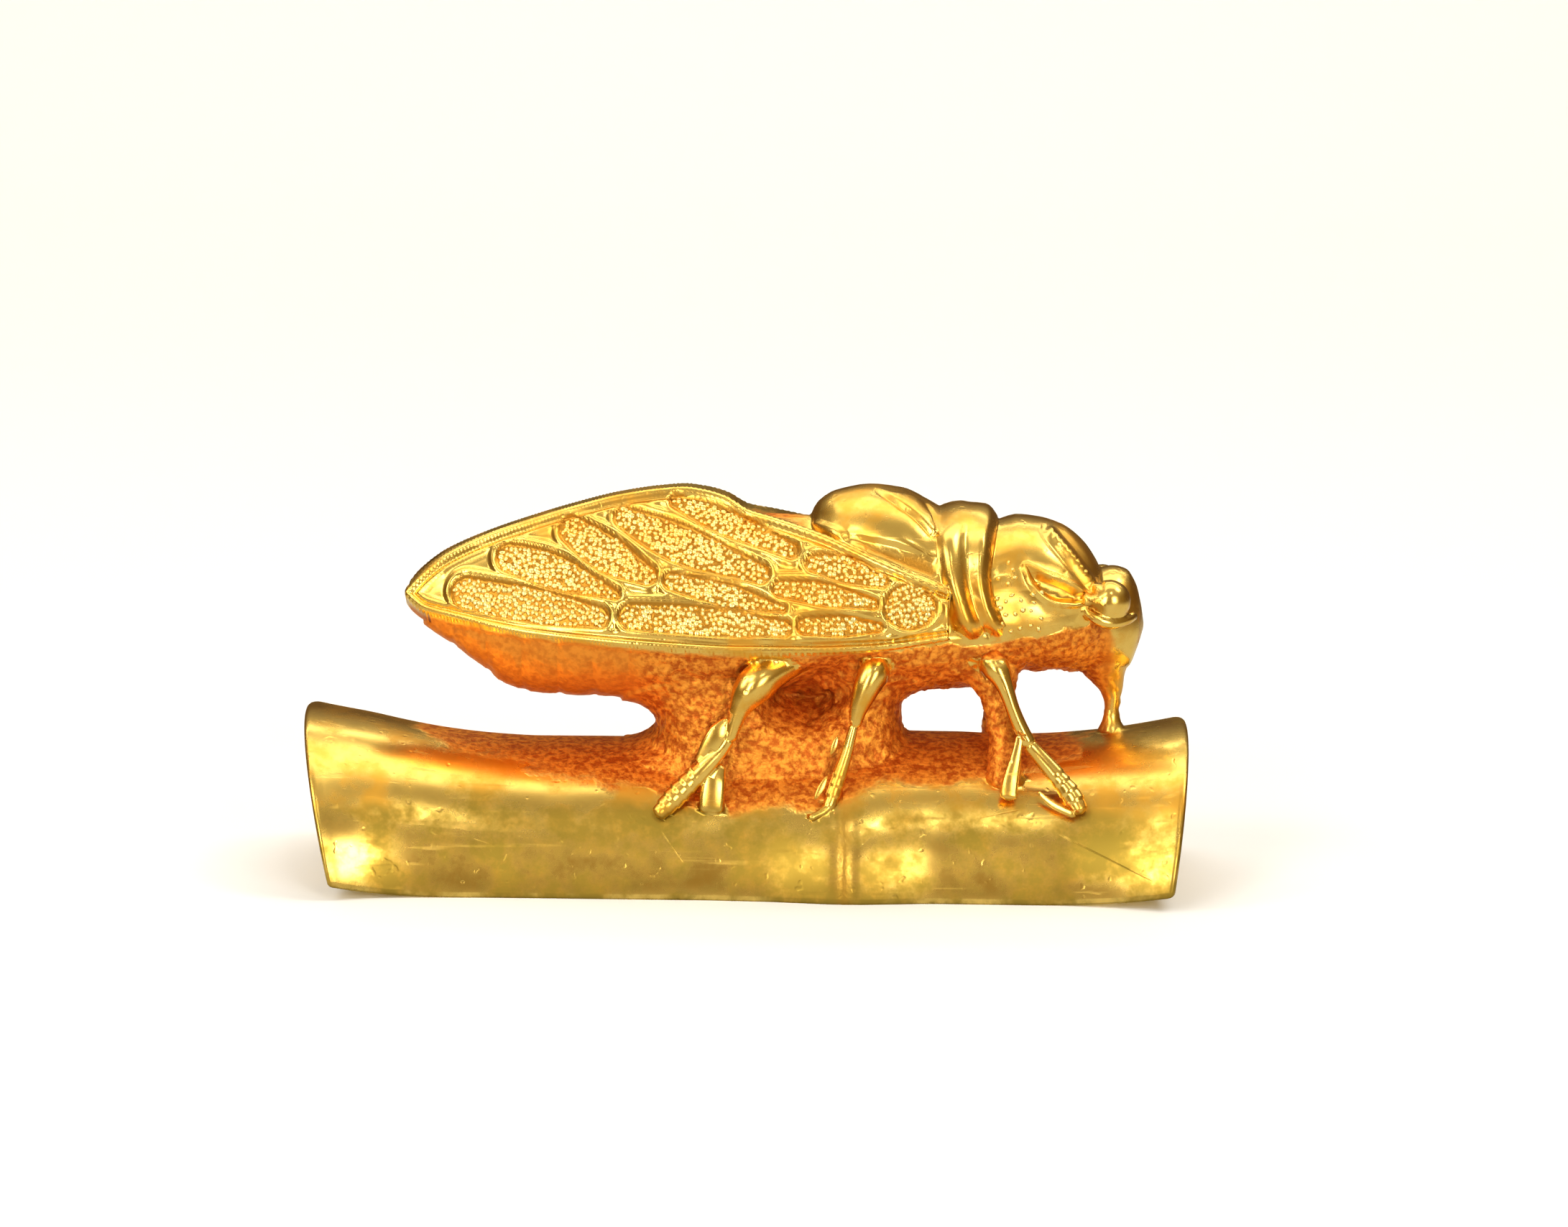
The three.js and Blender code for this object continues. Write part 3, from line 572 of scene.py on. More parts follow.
@dataclass
class Head(Body):
    """Head dome with face, eyes on their ledges, and beak."""

    crest: Pairs = ((13.6, 20.3), (14.2, 20.55), (15.2, 20.82), (16.4, 20.7), (17.7, 20.3), (18.8, 19.5),
                    (19.6, 18.45), (20.2, 17.2))
    belly: Pairs = ((13.6, 12.4), (15.7, 12.0), (17.0, 12.0), (18.8, 11.95), (20.2, 12.6))
    half_width: Pairs = ((13.6, 4.9), (16, 4.7), (17.5, 4.3), (19.2, 3.5), (20.2, 2.7))
    waist: Pairs = ((13.6, 15.2), (17, 15.4), (20.2, 15.6))
    ball_rings: int = 36
    ball_sides: int = 56
    ball_pole: float = 0.02
    eye_centre: tuple[float, ...] = (20.26, 3.0, 16.4)
    eye_radius: float = 1.2
    eye_ledge: Pairs = ((18.7, 3.75, 16.1, 0.25), (19.2, 3.85, 15.65, 0.3), (20.2, 3.8, 15.25, 0.34),
                        (21.2, 3.2, 15.35, 0.3), (21.8, 2.2, 15.5, 0.25))
    eye_bead: tuple[float, ...] = (19.15, 3.5, 16.5)
    eye_bead_radius: float = 0.42
    beak: Pairs = ((20.3, 0, 14.4, 2.0), (20.3, 0, 12.6, 1.6), (20.45, 0, 11.8, 1.15), (20.66, 0, 11.1, 0.78),
                   (20.78, 0, 10.4, 0.54), (20.78, 0, 9.6, 0.46), (20.78, 0, 8.9, 0.6), (20.85, 0, 7.8, 1.35))

    def ball(self, centre: tuple[float, ...], radius: float) -> Shell:
        """Smooth ball."""
        polar = np.linspace(self.ball_pole, math.pi - self.ball_pole, self.ball_rings)[:, None]
        turn = np.linspace(0, 2 * math.pi, self.ball_sides, endpoint=False)[None]
        ring = np.stack((np.cos(polar) * np.ones_like(turn), np.sin(polar) * np.cos(turn),
                         np.sin(polar) * np.sin(turn)), axis=-1)
        return lofted(ring * radius + np.array(centre))

    def shells(self) -> list[Shell]:
        """Every form of the head."""
        made = [self.shell(), Face().shell(), Limb(self.beak, depth=1).shell()]
        for side in Side:
            made.append(self.ball(self.eye_centre, self.eye_radius).on(side))
            made.append(self.ball(self.eye_bead, self.eye_bead_radius).on(side))
            made.append(Limb(self.eye_ledge).shell().on(side))
        return made


@dataclass
class Web:
    """Web of metal between the belly and the stem, with a hollow on each side."""

    rear_x: float = -5.08
    front_x: float = 8.75
    low_z: float = 4.6
    high_z: float = 13.4
    half_width: float = 4.5
    fillet_reach: float = 2.0
    fillet_height: float = 1.3
    side_fillet: float = 1.5
    side_fillet_z: tuple[float, float] = (5.2, 7.4)
    squareness: float = 0.55
    hollow_centre: tuple[float, float] = (3.55, 10.9)
    hollow_reach: tuple[float, float] = (1.95, 1.6)
    hollow_depth: float = 3.4
    skin: float = 0.02
    rings: int = 100
    sides: int = 260
    front_web: Pairs = ((13.7, 2.6, 12.6, 2.0), (14.05, 3.0, 11.3, 1.1), (14.25, 3.4, 9.8, 0.8),
                        (14.45, 3.8, 8.2, 0.8), (14.5, 4.6, 5.6, 1.3))

    def fillet(self, gap: np.ndarray) -> np.ndarray:
        """Share of a fillet's reach at each distance from the form it runs into."""
        near = np.clip(1 - gap / self.fillet_height, 0, 1)
        return 1 - np.sqrt(1 - near**2)

    def column(self) -> Shell:
        """Wall between the legs, running out into the belly and the stem."""
        z = np.linspace(self.low_z, self.high_z, self.rings)[:, None]
        turn = np.linspace(0, 2 * math.pi, self.sides, endpoint=False)[None]
        across, up = (np.sign(f) * np.abs(f) ** self.squareness for f in (np.cos(turn), np.sin(turn)))
        trunk = Trunk()
        middle, half_length = (self.front_x + self.rear_x) / 2, (self.front_x - self.rear_x) / 2
        belly = Profile(trunk.belly)(middle + across * half_length)
        waist = float(Profile(trunk.waist)(middle))
        share = np.clip(up * self.half_width / float(Profile(trunk.half_width)(middle)), -1, 1)
        under = waist - (waist - belly) * np.sqrt(1 - share**2)
        gap = np.minimum(z - Stem().top(up * self.half_width), under - z)
        x = middle + across * (half_length + self.fillet_reach * self.fillet(gap))
        hollow = swell(np.hypot((x - self.hollow_centre[0]) / self.hollow_reach[0],
                                (z - self.hollow_centre[1]) / self.hollow_reach[1]), 0, 1)
        low, high = self.side_fillet_z
        foot = self.side_fillet * self.fillet((z - low) / (high - low) * self.fillet_height)
        reach = np.minimum(self.half_width + foot, np.maximum(Stem().out(z), self.half_width) + self.skin)
        y = up * (reach - self.hollow_depth * hollow)
        return lofted(np.stack((x, y, np.broadcast_to(z, x.shape)), axis=-1))

    def shells(self) -> list[Shell]:
        """The middle web and the two front webs."""
        front = Limb(self.front_web)
        return [self.column()] + [front.shell().on(side) for side in Side]


@dataclass
class Legs:
    """Six ridged legs with blades, struts and clawed feet."""

    thighs: tuple[Pairs, ...] = (
        ((3.0, 4.2, 12.9, 0.6), (1.6, 4.9, 12.45, 0.95), (0.75, 5.3, 11.95, 1.12), (0.15, 5.5, 11.3, 1.0),
         (-0.35, 5.6, 10.4, 0.62), (-0.62, 5.65, 9.6, 0.46), (-0.9, 5.7, 8.6, 0.36)),
        ((7.6, 4.4, 13.1, 0.6), (7.2, 5.0, 12.6, 0.88), (6.85, 5.3, 12.0, 0.82), (6.55, 5.4, 11.3, 0.7),
         (6.25, 5.45, 10.4, 0.5), (6.08, 5.5, 9.4, 0.3)),
    )
    front_thigh: Pairs = ((13.3, 4.2, 13.3, 0.8), (13.9, 4.8, 12.8, 0.8), (14.3, 5.1, 12.1, 0.56),
                          (14.58, 5.3, 11.4, 0.44), (14.87, 5.4, 10.6, 0.4), (15.3, 5.45, 9.6, 0.42),
                          (15.9, 5.55, 8.5, 0.42))
    far_front_thigh: Pairs = ((13.3, 4.2, 13.3, 0.8), (13.8, 4.9, 11.9, 0.6), (14.1, 5.2, 10.9, 0.46),
                              (14.35, 5.4, 9.9, 0.4), (14.7, 5.5, 8.8, 0.4), (15.1, 5.6, 7.9, 0.4))
    feet: tuple[Pairs, ...] = (
        ((-0.9, 5.7, 8.8, 0.36), (-1.35, 5.75, 8.1, 0.4), (-2.1, 5.85, 7.3, 0.56), (-3.04, 6.0, 6.34, 0.68),
         (-4.0, 6.25, 5.39, 0.68), (-4.9, 6.6, 4.5, 0.45)),
        ((6.05, 5.5, 9.6, 0.24), (5.85, 5.6, 8.8, 0.3), (5.65, 5.7, 8.0, 0.34), (5.3, 5.85, 6.9, 0.42),
         (4.97, 6.05, 5.9, 0.46), (4.6, 6.4, 5.0, 0.34), (3.6, 6.9, 4.5, 0.2)),
    )
    front_foot: Pairs = ((15.75, 5.55, 8.7, 0.4), (16.35, 5.65, 8.05, 0.44), (17.35, 5.95, 6.95, 0.54),
                         (18.25, 6.4, 5.85, 0.62), (18.75, 6.8, 5.0, 0.4))
    far_front_foot: Pairs = ((15.0, 5.55, 8.1, 0.4), (15.6, 5.75, 7.3, 0.46), (16.6, 6.1, 6.3, 0.54),
                             (17.6, 6.6, 5.2, 0.6), (18.1, 6.9, 4.6, 0.38))
    struts: tuple[Pairs, ...] = (
        ((-1.3, 5.55, 7.3, 0.25), (-1.65, 5.75, 6.6, 0.6), (-1.8, 6.0, 5.6, 0.7), (-1.85, 6.15, 4.5, 0.66)),
        ((-0.95, 5.6, 9.9, 0.15), (-1.5, 5.65, 9.1, 0.55), (-2.0, 5.7, 8.2, 0.55), (-2.6, 5.8, 7.3, 0.25)),
        ((15.3, 5.55, 9.2, 0.2), (15.05, 5.75, 7.9, 0.3), (14.8, 5.95, 6.7, 0.44), (14.66, 6.3, 5.6, 0.5)),
        ((16.3, 6.1, 6.1, 0.1), (17.2, 6.5, 5.4, 0.18), (18.4, 6.95, 4.9, 0.18)),
        ((5.15, 5.5, 9.0, 0.06), (4.95, 5.6, 8.4, 0.17), (4.75, 5.7, 7.9, 0.06)),
        ((4.6, 5.9, 6.8, 0.08), (4.25, 6.1, 6.1, 0.2), (3.9, 6.3, 5.5, 0.08)),
    )
    thigh_keenness: float = 1.3
    foot_keenness: float = 1.2
    strut_keenness: float = 0.5
    thigh_depth: float = 0.85
    foot_depth: float = 0.75
    strut_depth: float = 0.6
    foot_spacing: float = 0.085
    claw_pitch: float = 0.6
    claw_height: float = 0.14

    def stops(self) -> tuple[Pairs, ...]:
        """Stops of every limb."""
        fronts = (self.front_thigh, self.front_foot, self.far_front_thigh, self.far_front_foot)
        return self.thighs + self.feet + self.struts + fronts

    def thigh(self, stops: Pairs) -> Shell:
        """Ridged upper leg."""
        return Limb(stops, keenness=self.thigh_keenness, depth=self.thigh_depth).shell()

    def foot(self, stops: Pairs) -> Shell:
        """Foot whose outer edge is notched into claws."""
        limb = Limb(stops, keenness=self.foot_keenness, spacing=self.foot_spacing, depth=self.foot_depth)
        return limb.shell(notch=(self.claw_pitch, self.claw_height))

    def shells(self) -> list[Shell]:
        """Every leg, foot and blade, on both sides."""
        made = [self.thigh(stops) for stops in self.thighs] + [self.foot(stops) for stops in self.feet]
        made += [Limb(stops, keenness=self.strut_keenness, depth=self.strut_depth).shell()
                 for stops in self.struts]
        paired = [shell.on(side) for shell in made for side in Side]
        near = [self.thigh(self.front_thigh).on(Side.NEAR), self.foot(self.front_foot).on(Side.NEAR)]
        far = [self.thigh(self.far_front_thigh), self.foot(self.far_front_foot)]
        return paired + near + far


@dataclass
class Wing:
    """Folded wing: raised veins round sunken, stippled cells, inside a beaded rim."""

    tip_x: float = -19.3
    root_x: float = 11.2
    thickness: float = 1.2
    bulge: float = 0.55
    bulge_length: float = 4.0
    cell_depth: float = 0.24
    wall_width: float = 0.16
    wall_start: float = 0.06
    floor_share: float = 0.9
    lip_height: float = 0.14
    lip_width: float = 0.16
    lip_reach: float = 0.18
    lip_clear: Range = (0.5, 0.8)
    rim_beads: Pairs = ((0.16, 0.2, 0.2), (0.46, 0.09, -0.1), (0.68, 0.1, 0.08))
    furrow_depth: float = 0.06
    furrow_cell: Range = (0.22, 0.5)
    furrow_clear: Range = (0.75, 1.1)
    crest: Pairs = (
        (-19.3, 1.35, 16.2), (-18.8, 1.0, 16.85), (-18.0, 0.75, 17.6), (-17.1, 0.55, 18.25),
        (-14.7, 0.45, 19.37), (-12.2, 0.45, 20.27), (-9.8, 0.45, 21.03), (-7.3, 0.45, 21.69),
        (-4.9, 0.45, 22.08), (-3.6, 0.5, 22.18), (-2.5, 0.6, 22.05), (-1.3, 0.8, 21.72), (0, 1.1, 21.0),
        (1.5, 1.75, 20.65), (4.1, 2.9, 19.95), (7.35, 4.2, 18.7), (11.2, 5.1, 17.3),
    )
    margin: Pairs = (
        (-19.3, 1.5, 15.95), (-18.9, 1.85, 15.6), (-18.2, 2.35, 15.2), (-16.9, 2.9, 14.95),
        (-12.2, 4.5, 14.25), (-4.8, 5.8, 13.8), (-0.4, 6.0, 13.64), (3.5, 6.0, 13.68),
        (7.35, 5.8, 13.87), (11.2, 5.3, 14.4),
    )
    cells: tuple[Pairs, ...] = (
        ((-15.7, 16.35, 0.95), (-12.15, 15.9, 1.05), (-8.3, 15.4, 0.68)),
        ((-13.4, 18.3, 0.8), (-11.0, 17.75, 1.0), (-7.4, 16.65, 0.36)),
        ((-9.9, 19.85, 0.8), (-8.0, 18.8, 1.05), (-5.6, 17.7, 0.6)),
        ((-7.0, 20.6, 0.62), (-3.7, 19.3, 1.08), (0.7, 17.85, 0.6)),
        ((-4.1, 21.5, 0.42), (-1.25, 20.45, 0.74), (2.4, 19.1, 0.5)),
        ((-4.2, 17.4, 0.55), (-1.25, 16.75, 0.72), (1.95, 16.05, 0.28)),
        ((-6.4, 15.5, 0.78), (-2.5, 15.35, 0.88), (2.0, 15.05, 0.55)),
        ((3.25, 15.2, 0.55), (5.05, 15.25, 0.63), (7.3, 15.2, 0.32)),
        ((1.85, 17.1, 0.52), (4.25, 16.9, 0.7), (7.0, 16.45, 0.36)),
        ((3.65, 18.5, 0.5), (5.5, 18.2, 0.78), (7.5, 17.65, 0.42)),
        ((8.75, 16.3, 1.2), (9.05, 16.3, 1.3), (9.35, 16.3, 1.2)),
    )
    along_steps: int = 300
    down_steps: int = 80
    under_steps: int = 8
    tip_crowding: float = 0.35
    cell_steps: int = 25
    edge_steps: int = 160
    far_away: float = 9.0
    plate_below: float = 0.2
    plate_above: float = 0.4
    plate_past: float = 0.1
    plate_depth: float = 0.45

    def edges(self, x: np.ndarray) -> tuple[np.ndarray, ...]:
        """Crest and margin at each place: crest out, crest up, margin out, margin up."""
        return tuple(Profile(tuple((p[0], p[k]) for p in edge))(x)
                     for edge in (self.crest, self.margin) for k in (1, 2))

    def surface(self, x: np.ndarray, down: np.ndarray) -> tuple[np.ndarray, np.ndarray]:
        """Plain outer face of the wing.

        Args:
            x: places along the wing.
            down: shares of the way from the crest to the margin.

        Returns:
            Points of the face, and the direction out of it, both stations by shares by 3.
        """
        crest_y, crest_z, margin_y, margin_z = (edge[:, None] for edge in self.edges(x))
        slant = np.concatenate((margin_y - crest_y, margin_z - crest_z), axis=1)
        length = np.linalg.norm(slant, axis=1)
        out = np.stack((np.zeros(len(x)), -slant[:, 1] / length, slant[:, 0] / length), axis=-1)
        swollen = self.bulge * np.minimum(1, length / self.bulge_length)[:, None] * 4 * down * (1 - down)
        point = np.stack((np.broadcast_to(x[:, None], (len(x), len(down))),
                          crest_y + slant[:, :1] * down, crest_z + slant[:, 1:] * down), axis=-1)
        return point + out[:, None] * swollen[..., None], out

    def cell_distance(self, x: np.ndarray, z: np.ndarray) -> np.ndarray:
        """Distance outside the nearest cell's outline, seen from the side; negative inside a cell."""
        nearest = np.full(x.shape, self.far_away)
        for stations in self.cells:
            first, middle, last = np.array(stations, float)
            bend = 2 * middle - (first + last) / 2
            radius = Profile(((0, first[2]), (0.5, middle[2]), (1, last[2])))
            for t in np.linspace(0, 1, self.cell_steps):
                at = (1 - t) ** 2 * first + 2 * t * (1 - t) * bend + t * t * last
                nearest = np.minimum(nearest, np.hypot(x - at[0], z - at[1]) - float(radius(t)))
        return nearest

    def edge_distance(self, points: np.ndarray) -> np.ndarray:
        """Distance from each point to the wing's free edge, seen from the side."""
        x = np.linspace(self.tip_x, self.root_x, self.edge_steps)
        _, crest_z, _, margin_z = self.edges(x)
        outline = np.concatenate((np.stack((x, crest_z), -1), np.stack((x, margin_z), -1)))
        flat = points[..., (0, 2)].reshape(-1, 2)
        nearest = np.full(len(flat), self.far_away)
        for a in outline:
            nearest = np.minimum(nearest, np.hypot(flat[:, 0] - a[0], flat[:, 1] - a[1]))
        return nearest.reshape(points.shape[:-1])

    def relief(self, points: np.ndarray) -> np.ndarray:
        """Height of the carving over the plain face."""
        cell = self.cell_distance(points[..., 0], points[..., 2])
        edge = self.edge_distance(points)
        pocket = -self.cell_depth * ramp(-cell, -self.wall_start, self.wall_width)
        lip = self.lip_height * swell(cell, self.lip_reach, self.lip_width)
        rim = sum(height * swell(edge, place, width) for place, width, height in self.rim_beads)
        furrow = -self.furrow_depth * ramp(cell, *self.furrow_cell) * ramp(edge, *self.furrow_clear)
        return pocket + lip * ramp(edge, *self.lip_clear) + rim + furrow

    def covers(self, points: np.ndarray) -> np.ndarray:
        """Whether each point lies on a wing's plate."""
        x, y, z = points.T
        crest_y, crest_z, margin_y, margin_z = self.edges(x)
        down = np.clip((crest_z - z) / (crest_z - margin_z), 0, 1)
        face = crest_y + (margin_y - crest_y) * down + self.bulge * 4 * down * (1 - down)
        level = (z > margin_z - self.plate_below) & (z < crest_z + self.plate_above)
        return level & (x < self.root_x + self.plate_past) & (np.abs(y) > face - self.plate_depth)

    def stations(self) -> np.ndarray:
        """Places of the wing's rings, closer together at the tip."""
        share = np.linspace(0, 1, self.along_steps)
        crowded = self.tip_crowding * share**2 + (1 - self.tip_crowding) * share
        return self.tip_x + (self.root_x - self.tip_x) * crowded

    def shell(self) -> Shell:
        """Closed skin of the wing with its carving."""
        x = self.stations()
        down = np.linspace(0, 1, self.down_steps)
        points, out = self.surface(x, down)
        outer = points + out[:, None] * self.relief(points)[..., None]
        under_down = np.linspace(1, 0, self.under_steps)
        inner_points, _ = self.surface(x, under_down)
        inner = inner_points - out[:, None] * self.thickness
        return lofted(np.concatenate((outer, inner), axis=1))

    def cell_floor(self) -> Shell:
        """Open patch of the wing's face on the floors of its cells."""
        x = self.stations()
        down = np.linspace(0, 1, self.down_steps)
        points, out = self.surface(x, down)
        inside = self.cell_distance(points[..., 0], points[..., 2]) < -self.wall_width * self.floor_share
        outer = (points + out[:, None] * self.relief(points)[..., None]).reshape(-1, 3)
        index = np.arange(x.size * down.size).reshape(x.size, down.size)
        a, b, c, d = index[:-1, :-1], index[1:, :-1], index[1:, 1:], index[:-1, 1:]
        whole = (inside[:-1, :-1] & inside[1:, :-1] & inside[1:, 1:] & inside[:-1, 1:]).ravel()
        faces = [np.stack([k.ravel()[whole] for k in t], -1) for t in ((a, b, c), (a, c, d))]
        return Shell(outer, np.concatenate(faces)[:, ::-1])


@dataclass
class Carving:
    """Low relief cut into the head and the thorax, the same on both sides."""

    side: Range = (0.8, 1.6)
    leaf: Pairs = ((15.55, 18.35, 0.04), (16.3, 17.6, 0.4), (17.2, 17.1, 0.56), (18.1, 16.8, 0.42),
                   (18.85, 16.5, 0.05))
    leaf_depth: float = 0.34
    leaf_wall: Range = (0.02, 0.3)
    leaf_rim: float = 0.26
    leaf_rim_place: float = 0.1
    leaf_rim_width: float = 0.15
    comb: Pairs = ((17.0, 20.1, 0.02), (18.2, 18.75, 0.03), (19.35, 17.35, 0.02))
    comb_height: float = 0.2
    comb_pitch: float = 0.36
    comb_width: float = 0.16
    comb_base: float = 0.8
    comb_tooth: float = 0.2
    comb_groove: tuple[float, ...] = (0.42, 0.14, 0.1)
    head_start: Range = (14.6, 15.0)
    stripe: Pairs = ((7.3, 22.5, 0.1), (8.0, 22.25, 0.24), (9.0, 21.75, 0.32), (9.85, 21.05, 0.26),
                     (10.35, 20.3, 0.1))
    stripe_height: float = 0.12
    stripe_wall: Range = (-0.12, 0.06)
    stripe_groove: tuple[float, ...] = (0.17, 0.1, 0.16)
    valley: Pairs = ((5.6, 19.75, 0.1), (7.6, 19.35, 0.3), (9.0, 18.9, 0.38), (10.2, 18.4, 0.3))
    valley_depth: float = 0.3
    valley_wall: Range = (-0.3, 0.1)
    shoulder: Pairs = ((3.6, 20.35, 0.02), (4.8, 20.05, 0.1), (6.3, 19.35, 0.04))
    shoulder_height: float = 0.22
    shoulder_width: float = 0.2
    thorax_end: float = 10.6
    thorax_blend: float = 0.2

    def groove(self, away: np.ndarray, shape: tuple[float, ...]) -> np.ndarray:
        """Groove along a strip's edge, from its place, its width and its depth."""
        place, width, depth = shape
        return depth * swell(away, place, width)

    def height(self, points: np.ndarray) -> np.ndarray:
        """Height of the carving at each point of the insect."""
        x, y, z = points.T
        leaf, _ = strip(x, z, self.leaf)
        rim = self.leaf_rim * swell(leaf, self.leaf_rim_place, self.leaf_rim_width)
        total = rim - self.leaf_depth * ramp(-leaf, *self.leaf_wall)
        comb, run = strip(x, z, self.comb)
        tooth = self.comb_base + self.comb_tooth * np.cos(2 * math.pi * run / self.comb_pitch)
        total += self.comb_height * swell(np.maximum(comb, 0), 0, self.comb_width) * tooth
        total -= self.groove(comb, self.comb_groove)
        total *= ramp(x, *self.head_start)
        stripe, _ = strip(x, z, self.stripe)
        thorax = self.stripe_height * ramp(-stripe, *self.stripe_wall)
        thorax -= self.groove(stripe, self.stripe_groove)
        valley, _ = strip(x, z, self.valley)
        thorax -= self.valley_depth * ramp(-valley, *self.valley_wall)
        shoulder, _ = strip(x, z, self.shoulder)
        thorax += self.shoulder_height * swell(np.maximum(shoulder, 0), 0, self.shoulder_width)
        total += thorax * ramp(self.thorax_end - x, 0, self.thorax_blend)
        return total * ramp(np.abs(y), *self.side)


@dataclass
class Casting:
    """The whole figurine as one fused shell."""

    stem: Stem = field(default_factory=Stem)
    wing: Wing = field(default_factory=Wing)
    belly_hollow: tuple[float, float] = (3.6, 11.5)
    belly_hollow_depth: float = 1.5
    belly_hollow_reach: tuple[float, float] = (2.1, 1.0)
    belly_hollow_lean: float = 0.45
    belly_hollow_side: Range = (0.8, 2.4)
    grit_height: float = 0.07
    grit_lumps: Layers = ((1.2, 0.36, Lumps.GRIT), (0.7, 0.2, Lumps.FINE_GRIT), (1.2, 1.1, Lumps.SWELLING))
    grit_belly: float = 0.6
    grit_least: float = 0.35
    grit_rear: Range = (-6.0, -4.5)
    grit_front: float = 20.0
    voxel: float = 0.085
    softness: float = 0.5
    soft_rounds: int = 4
    insect_triangles: int = 60000

    def insect(self) -> bpy.types.Object:
        """Body, head and web, fused and softened like a casting."""
        shells = [Trunk().shell(), Dome().shell(), Collar().shell()]
        shells += Head().shells() + Web().shells()
        made = joined("insect", shells)
        fuse = made.modifiers.new("fuse", "REMESH")
        fuse.mode = "VOXEL"
        fuse.voxel_size = self.voxel
        soften = made.modifiers.new("soften", "SMOOTH")
        soften.factor = self.softness
        soften.iterations = self.soft_rounds
        settled(made)
        LOG.info("insect fused: %d faces", len(made.data.polygons))
        points, normals = points_of(made.data), normals_of(made.data)
        move_points(made.data, points + normals * Carving().height(points)[:, None])
        self.hollow(made.data)
        self.roughen(made.data)
        thin = made.modifiers.new("thin", "DECIMATE")
        thin.ratio = self.insect_triangles / (2 * len(made.data.polygons))
        settled(made)
        LOG.info("insect thinned: %d faces", len(made.data.polygons))
        return made

    def hollow(self, mesh: bpy.types.Mesh) -> None:
        """Deepens the hollow over the web into the belly, running down to the rear."""
        points = points_of(mesh)
        x, y, z = points.T
        centre_x, centre_z = self.belly_hollow
        reach_x, reach_z = self.belly_hollow_reach
        lean = (x - centre_x) * self.belly_hollow_lean
        near = np.hypot((x - centre_x) / reach_x, (z - centre_z - lean) / reach_z)
        side = ramp(np.abs(y), *self.belly_hollow_side)
        points[:, 1] -= np.sign(y) * self.belly_hollow_depth * swell(near, 0, 1) * side
        move_points(mesh, points)

    def roughen(self, mesh: bpy.types.Mesh) -> None:
        """Gives the web, the belly and other hidden faces their coarse casting skin."""
        points, normals = points_of(mesh), normals_of(mesh)
        x, _, z = points.T
        low = ramp(Profile(Wear.belly_line)(x) - z, 0, self.grit_belly)
        web = (1 - self.grit_least) * ramp(x, *self.grit_rear) * ramp(self.grit_front - x, 0, 1)
        web += self.grit_least
        grit = sum(share * lattice_noise(points, size, lumps) for share, size, lumps in self.grit_lumps)
        move_points(mesh, points + normals * (self.grit_height * low * web * grit)[:, None])

    def build(self) -> bpy.types.Object:
        """Fuses every form into one closed mesh, in millimetres."""
        legs = united([joined("leg", [shell]) for shell in Legs().shells()])
        wings = [joined("wing", [self.wing.shell().on(side)]) for side in Side]
        made = united([joined(NODE + "_casting", [self.stem.shell()]), self.insect(), *wings, legs])
        LOG.info("casting: %d faces", len(made.data.polygons))
        return made


def reach_of_light(mesh: bpy.types.Mesh, rays: int, distance: float, lift: float) -> np.ndarray:
    """How open each vertex is to its surroundings.

    Args:
        mesh: closed mesh in millimetres.
        rays: directions tried at each vertex.
        distance: how far a blocking face counts.
        lift: how far off the surface the rays start.

    Returns:
        0 in a closed hollow to 1 in the open, for each vertex.
    """
    points, normals = points_of(mesh), normals_of(mesh)
    tree = bvhtree.BVHTree.FromPolygons(
        [Vector(p) for p in points], [tuple(p.vertices) for p in mesh.polygons])
    rng = np.random.default_rng(RAY_SEED)
    local = rng.normal(size=(rays, 3))
    local /= np.linalg.norm(local, axis=1)[:, None]
    openness = np.empty(len(points))
    for i, (point, normal) in enumerate(zip(points, normals)):
        start = Vector(point + normal * lift)
        directions = local * np.sign(local @ normal)[:, None]
        hits = sum(tree.ray_cast(start, Vector(d), distance)[0] is not None for d in directions)
        openness[i] = 1 - hits / rays
    return openness


@dataclass(frozen=True)
class Noise:
    """Noise texture: width of its lumps in metres, layers of finer lumps, and their strength."""

    size: float
    detail: float
    strength: float


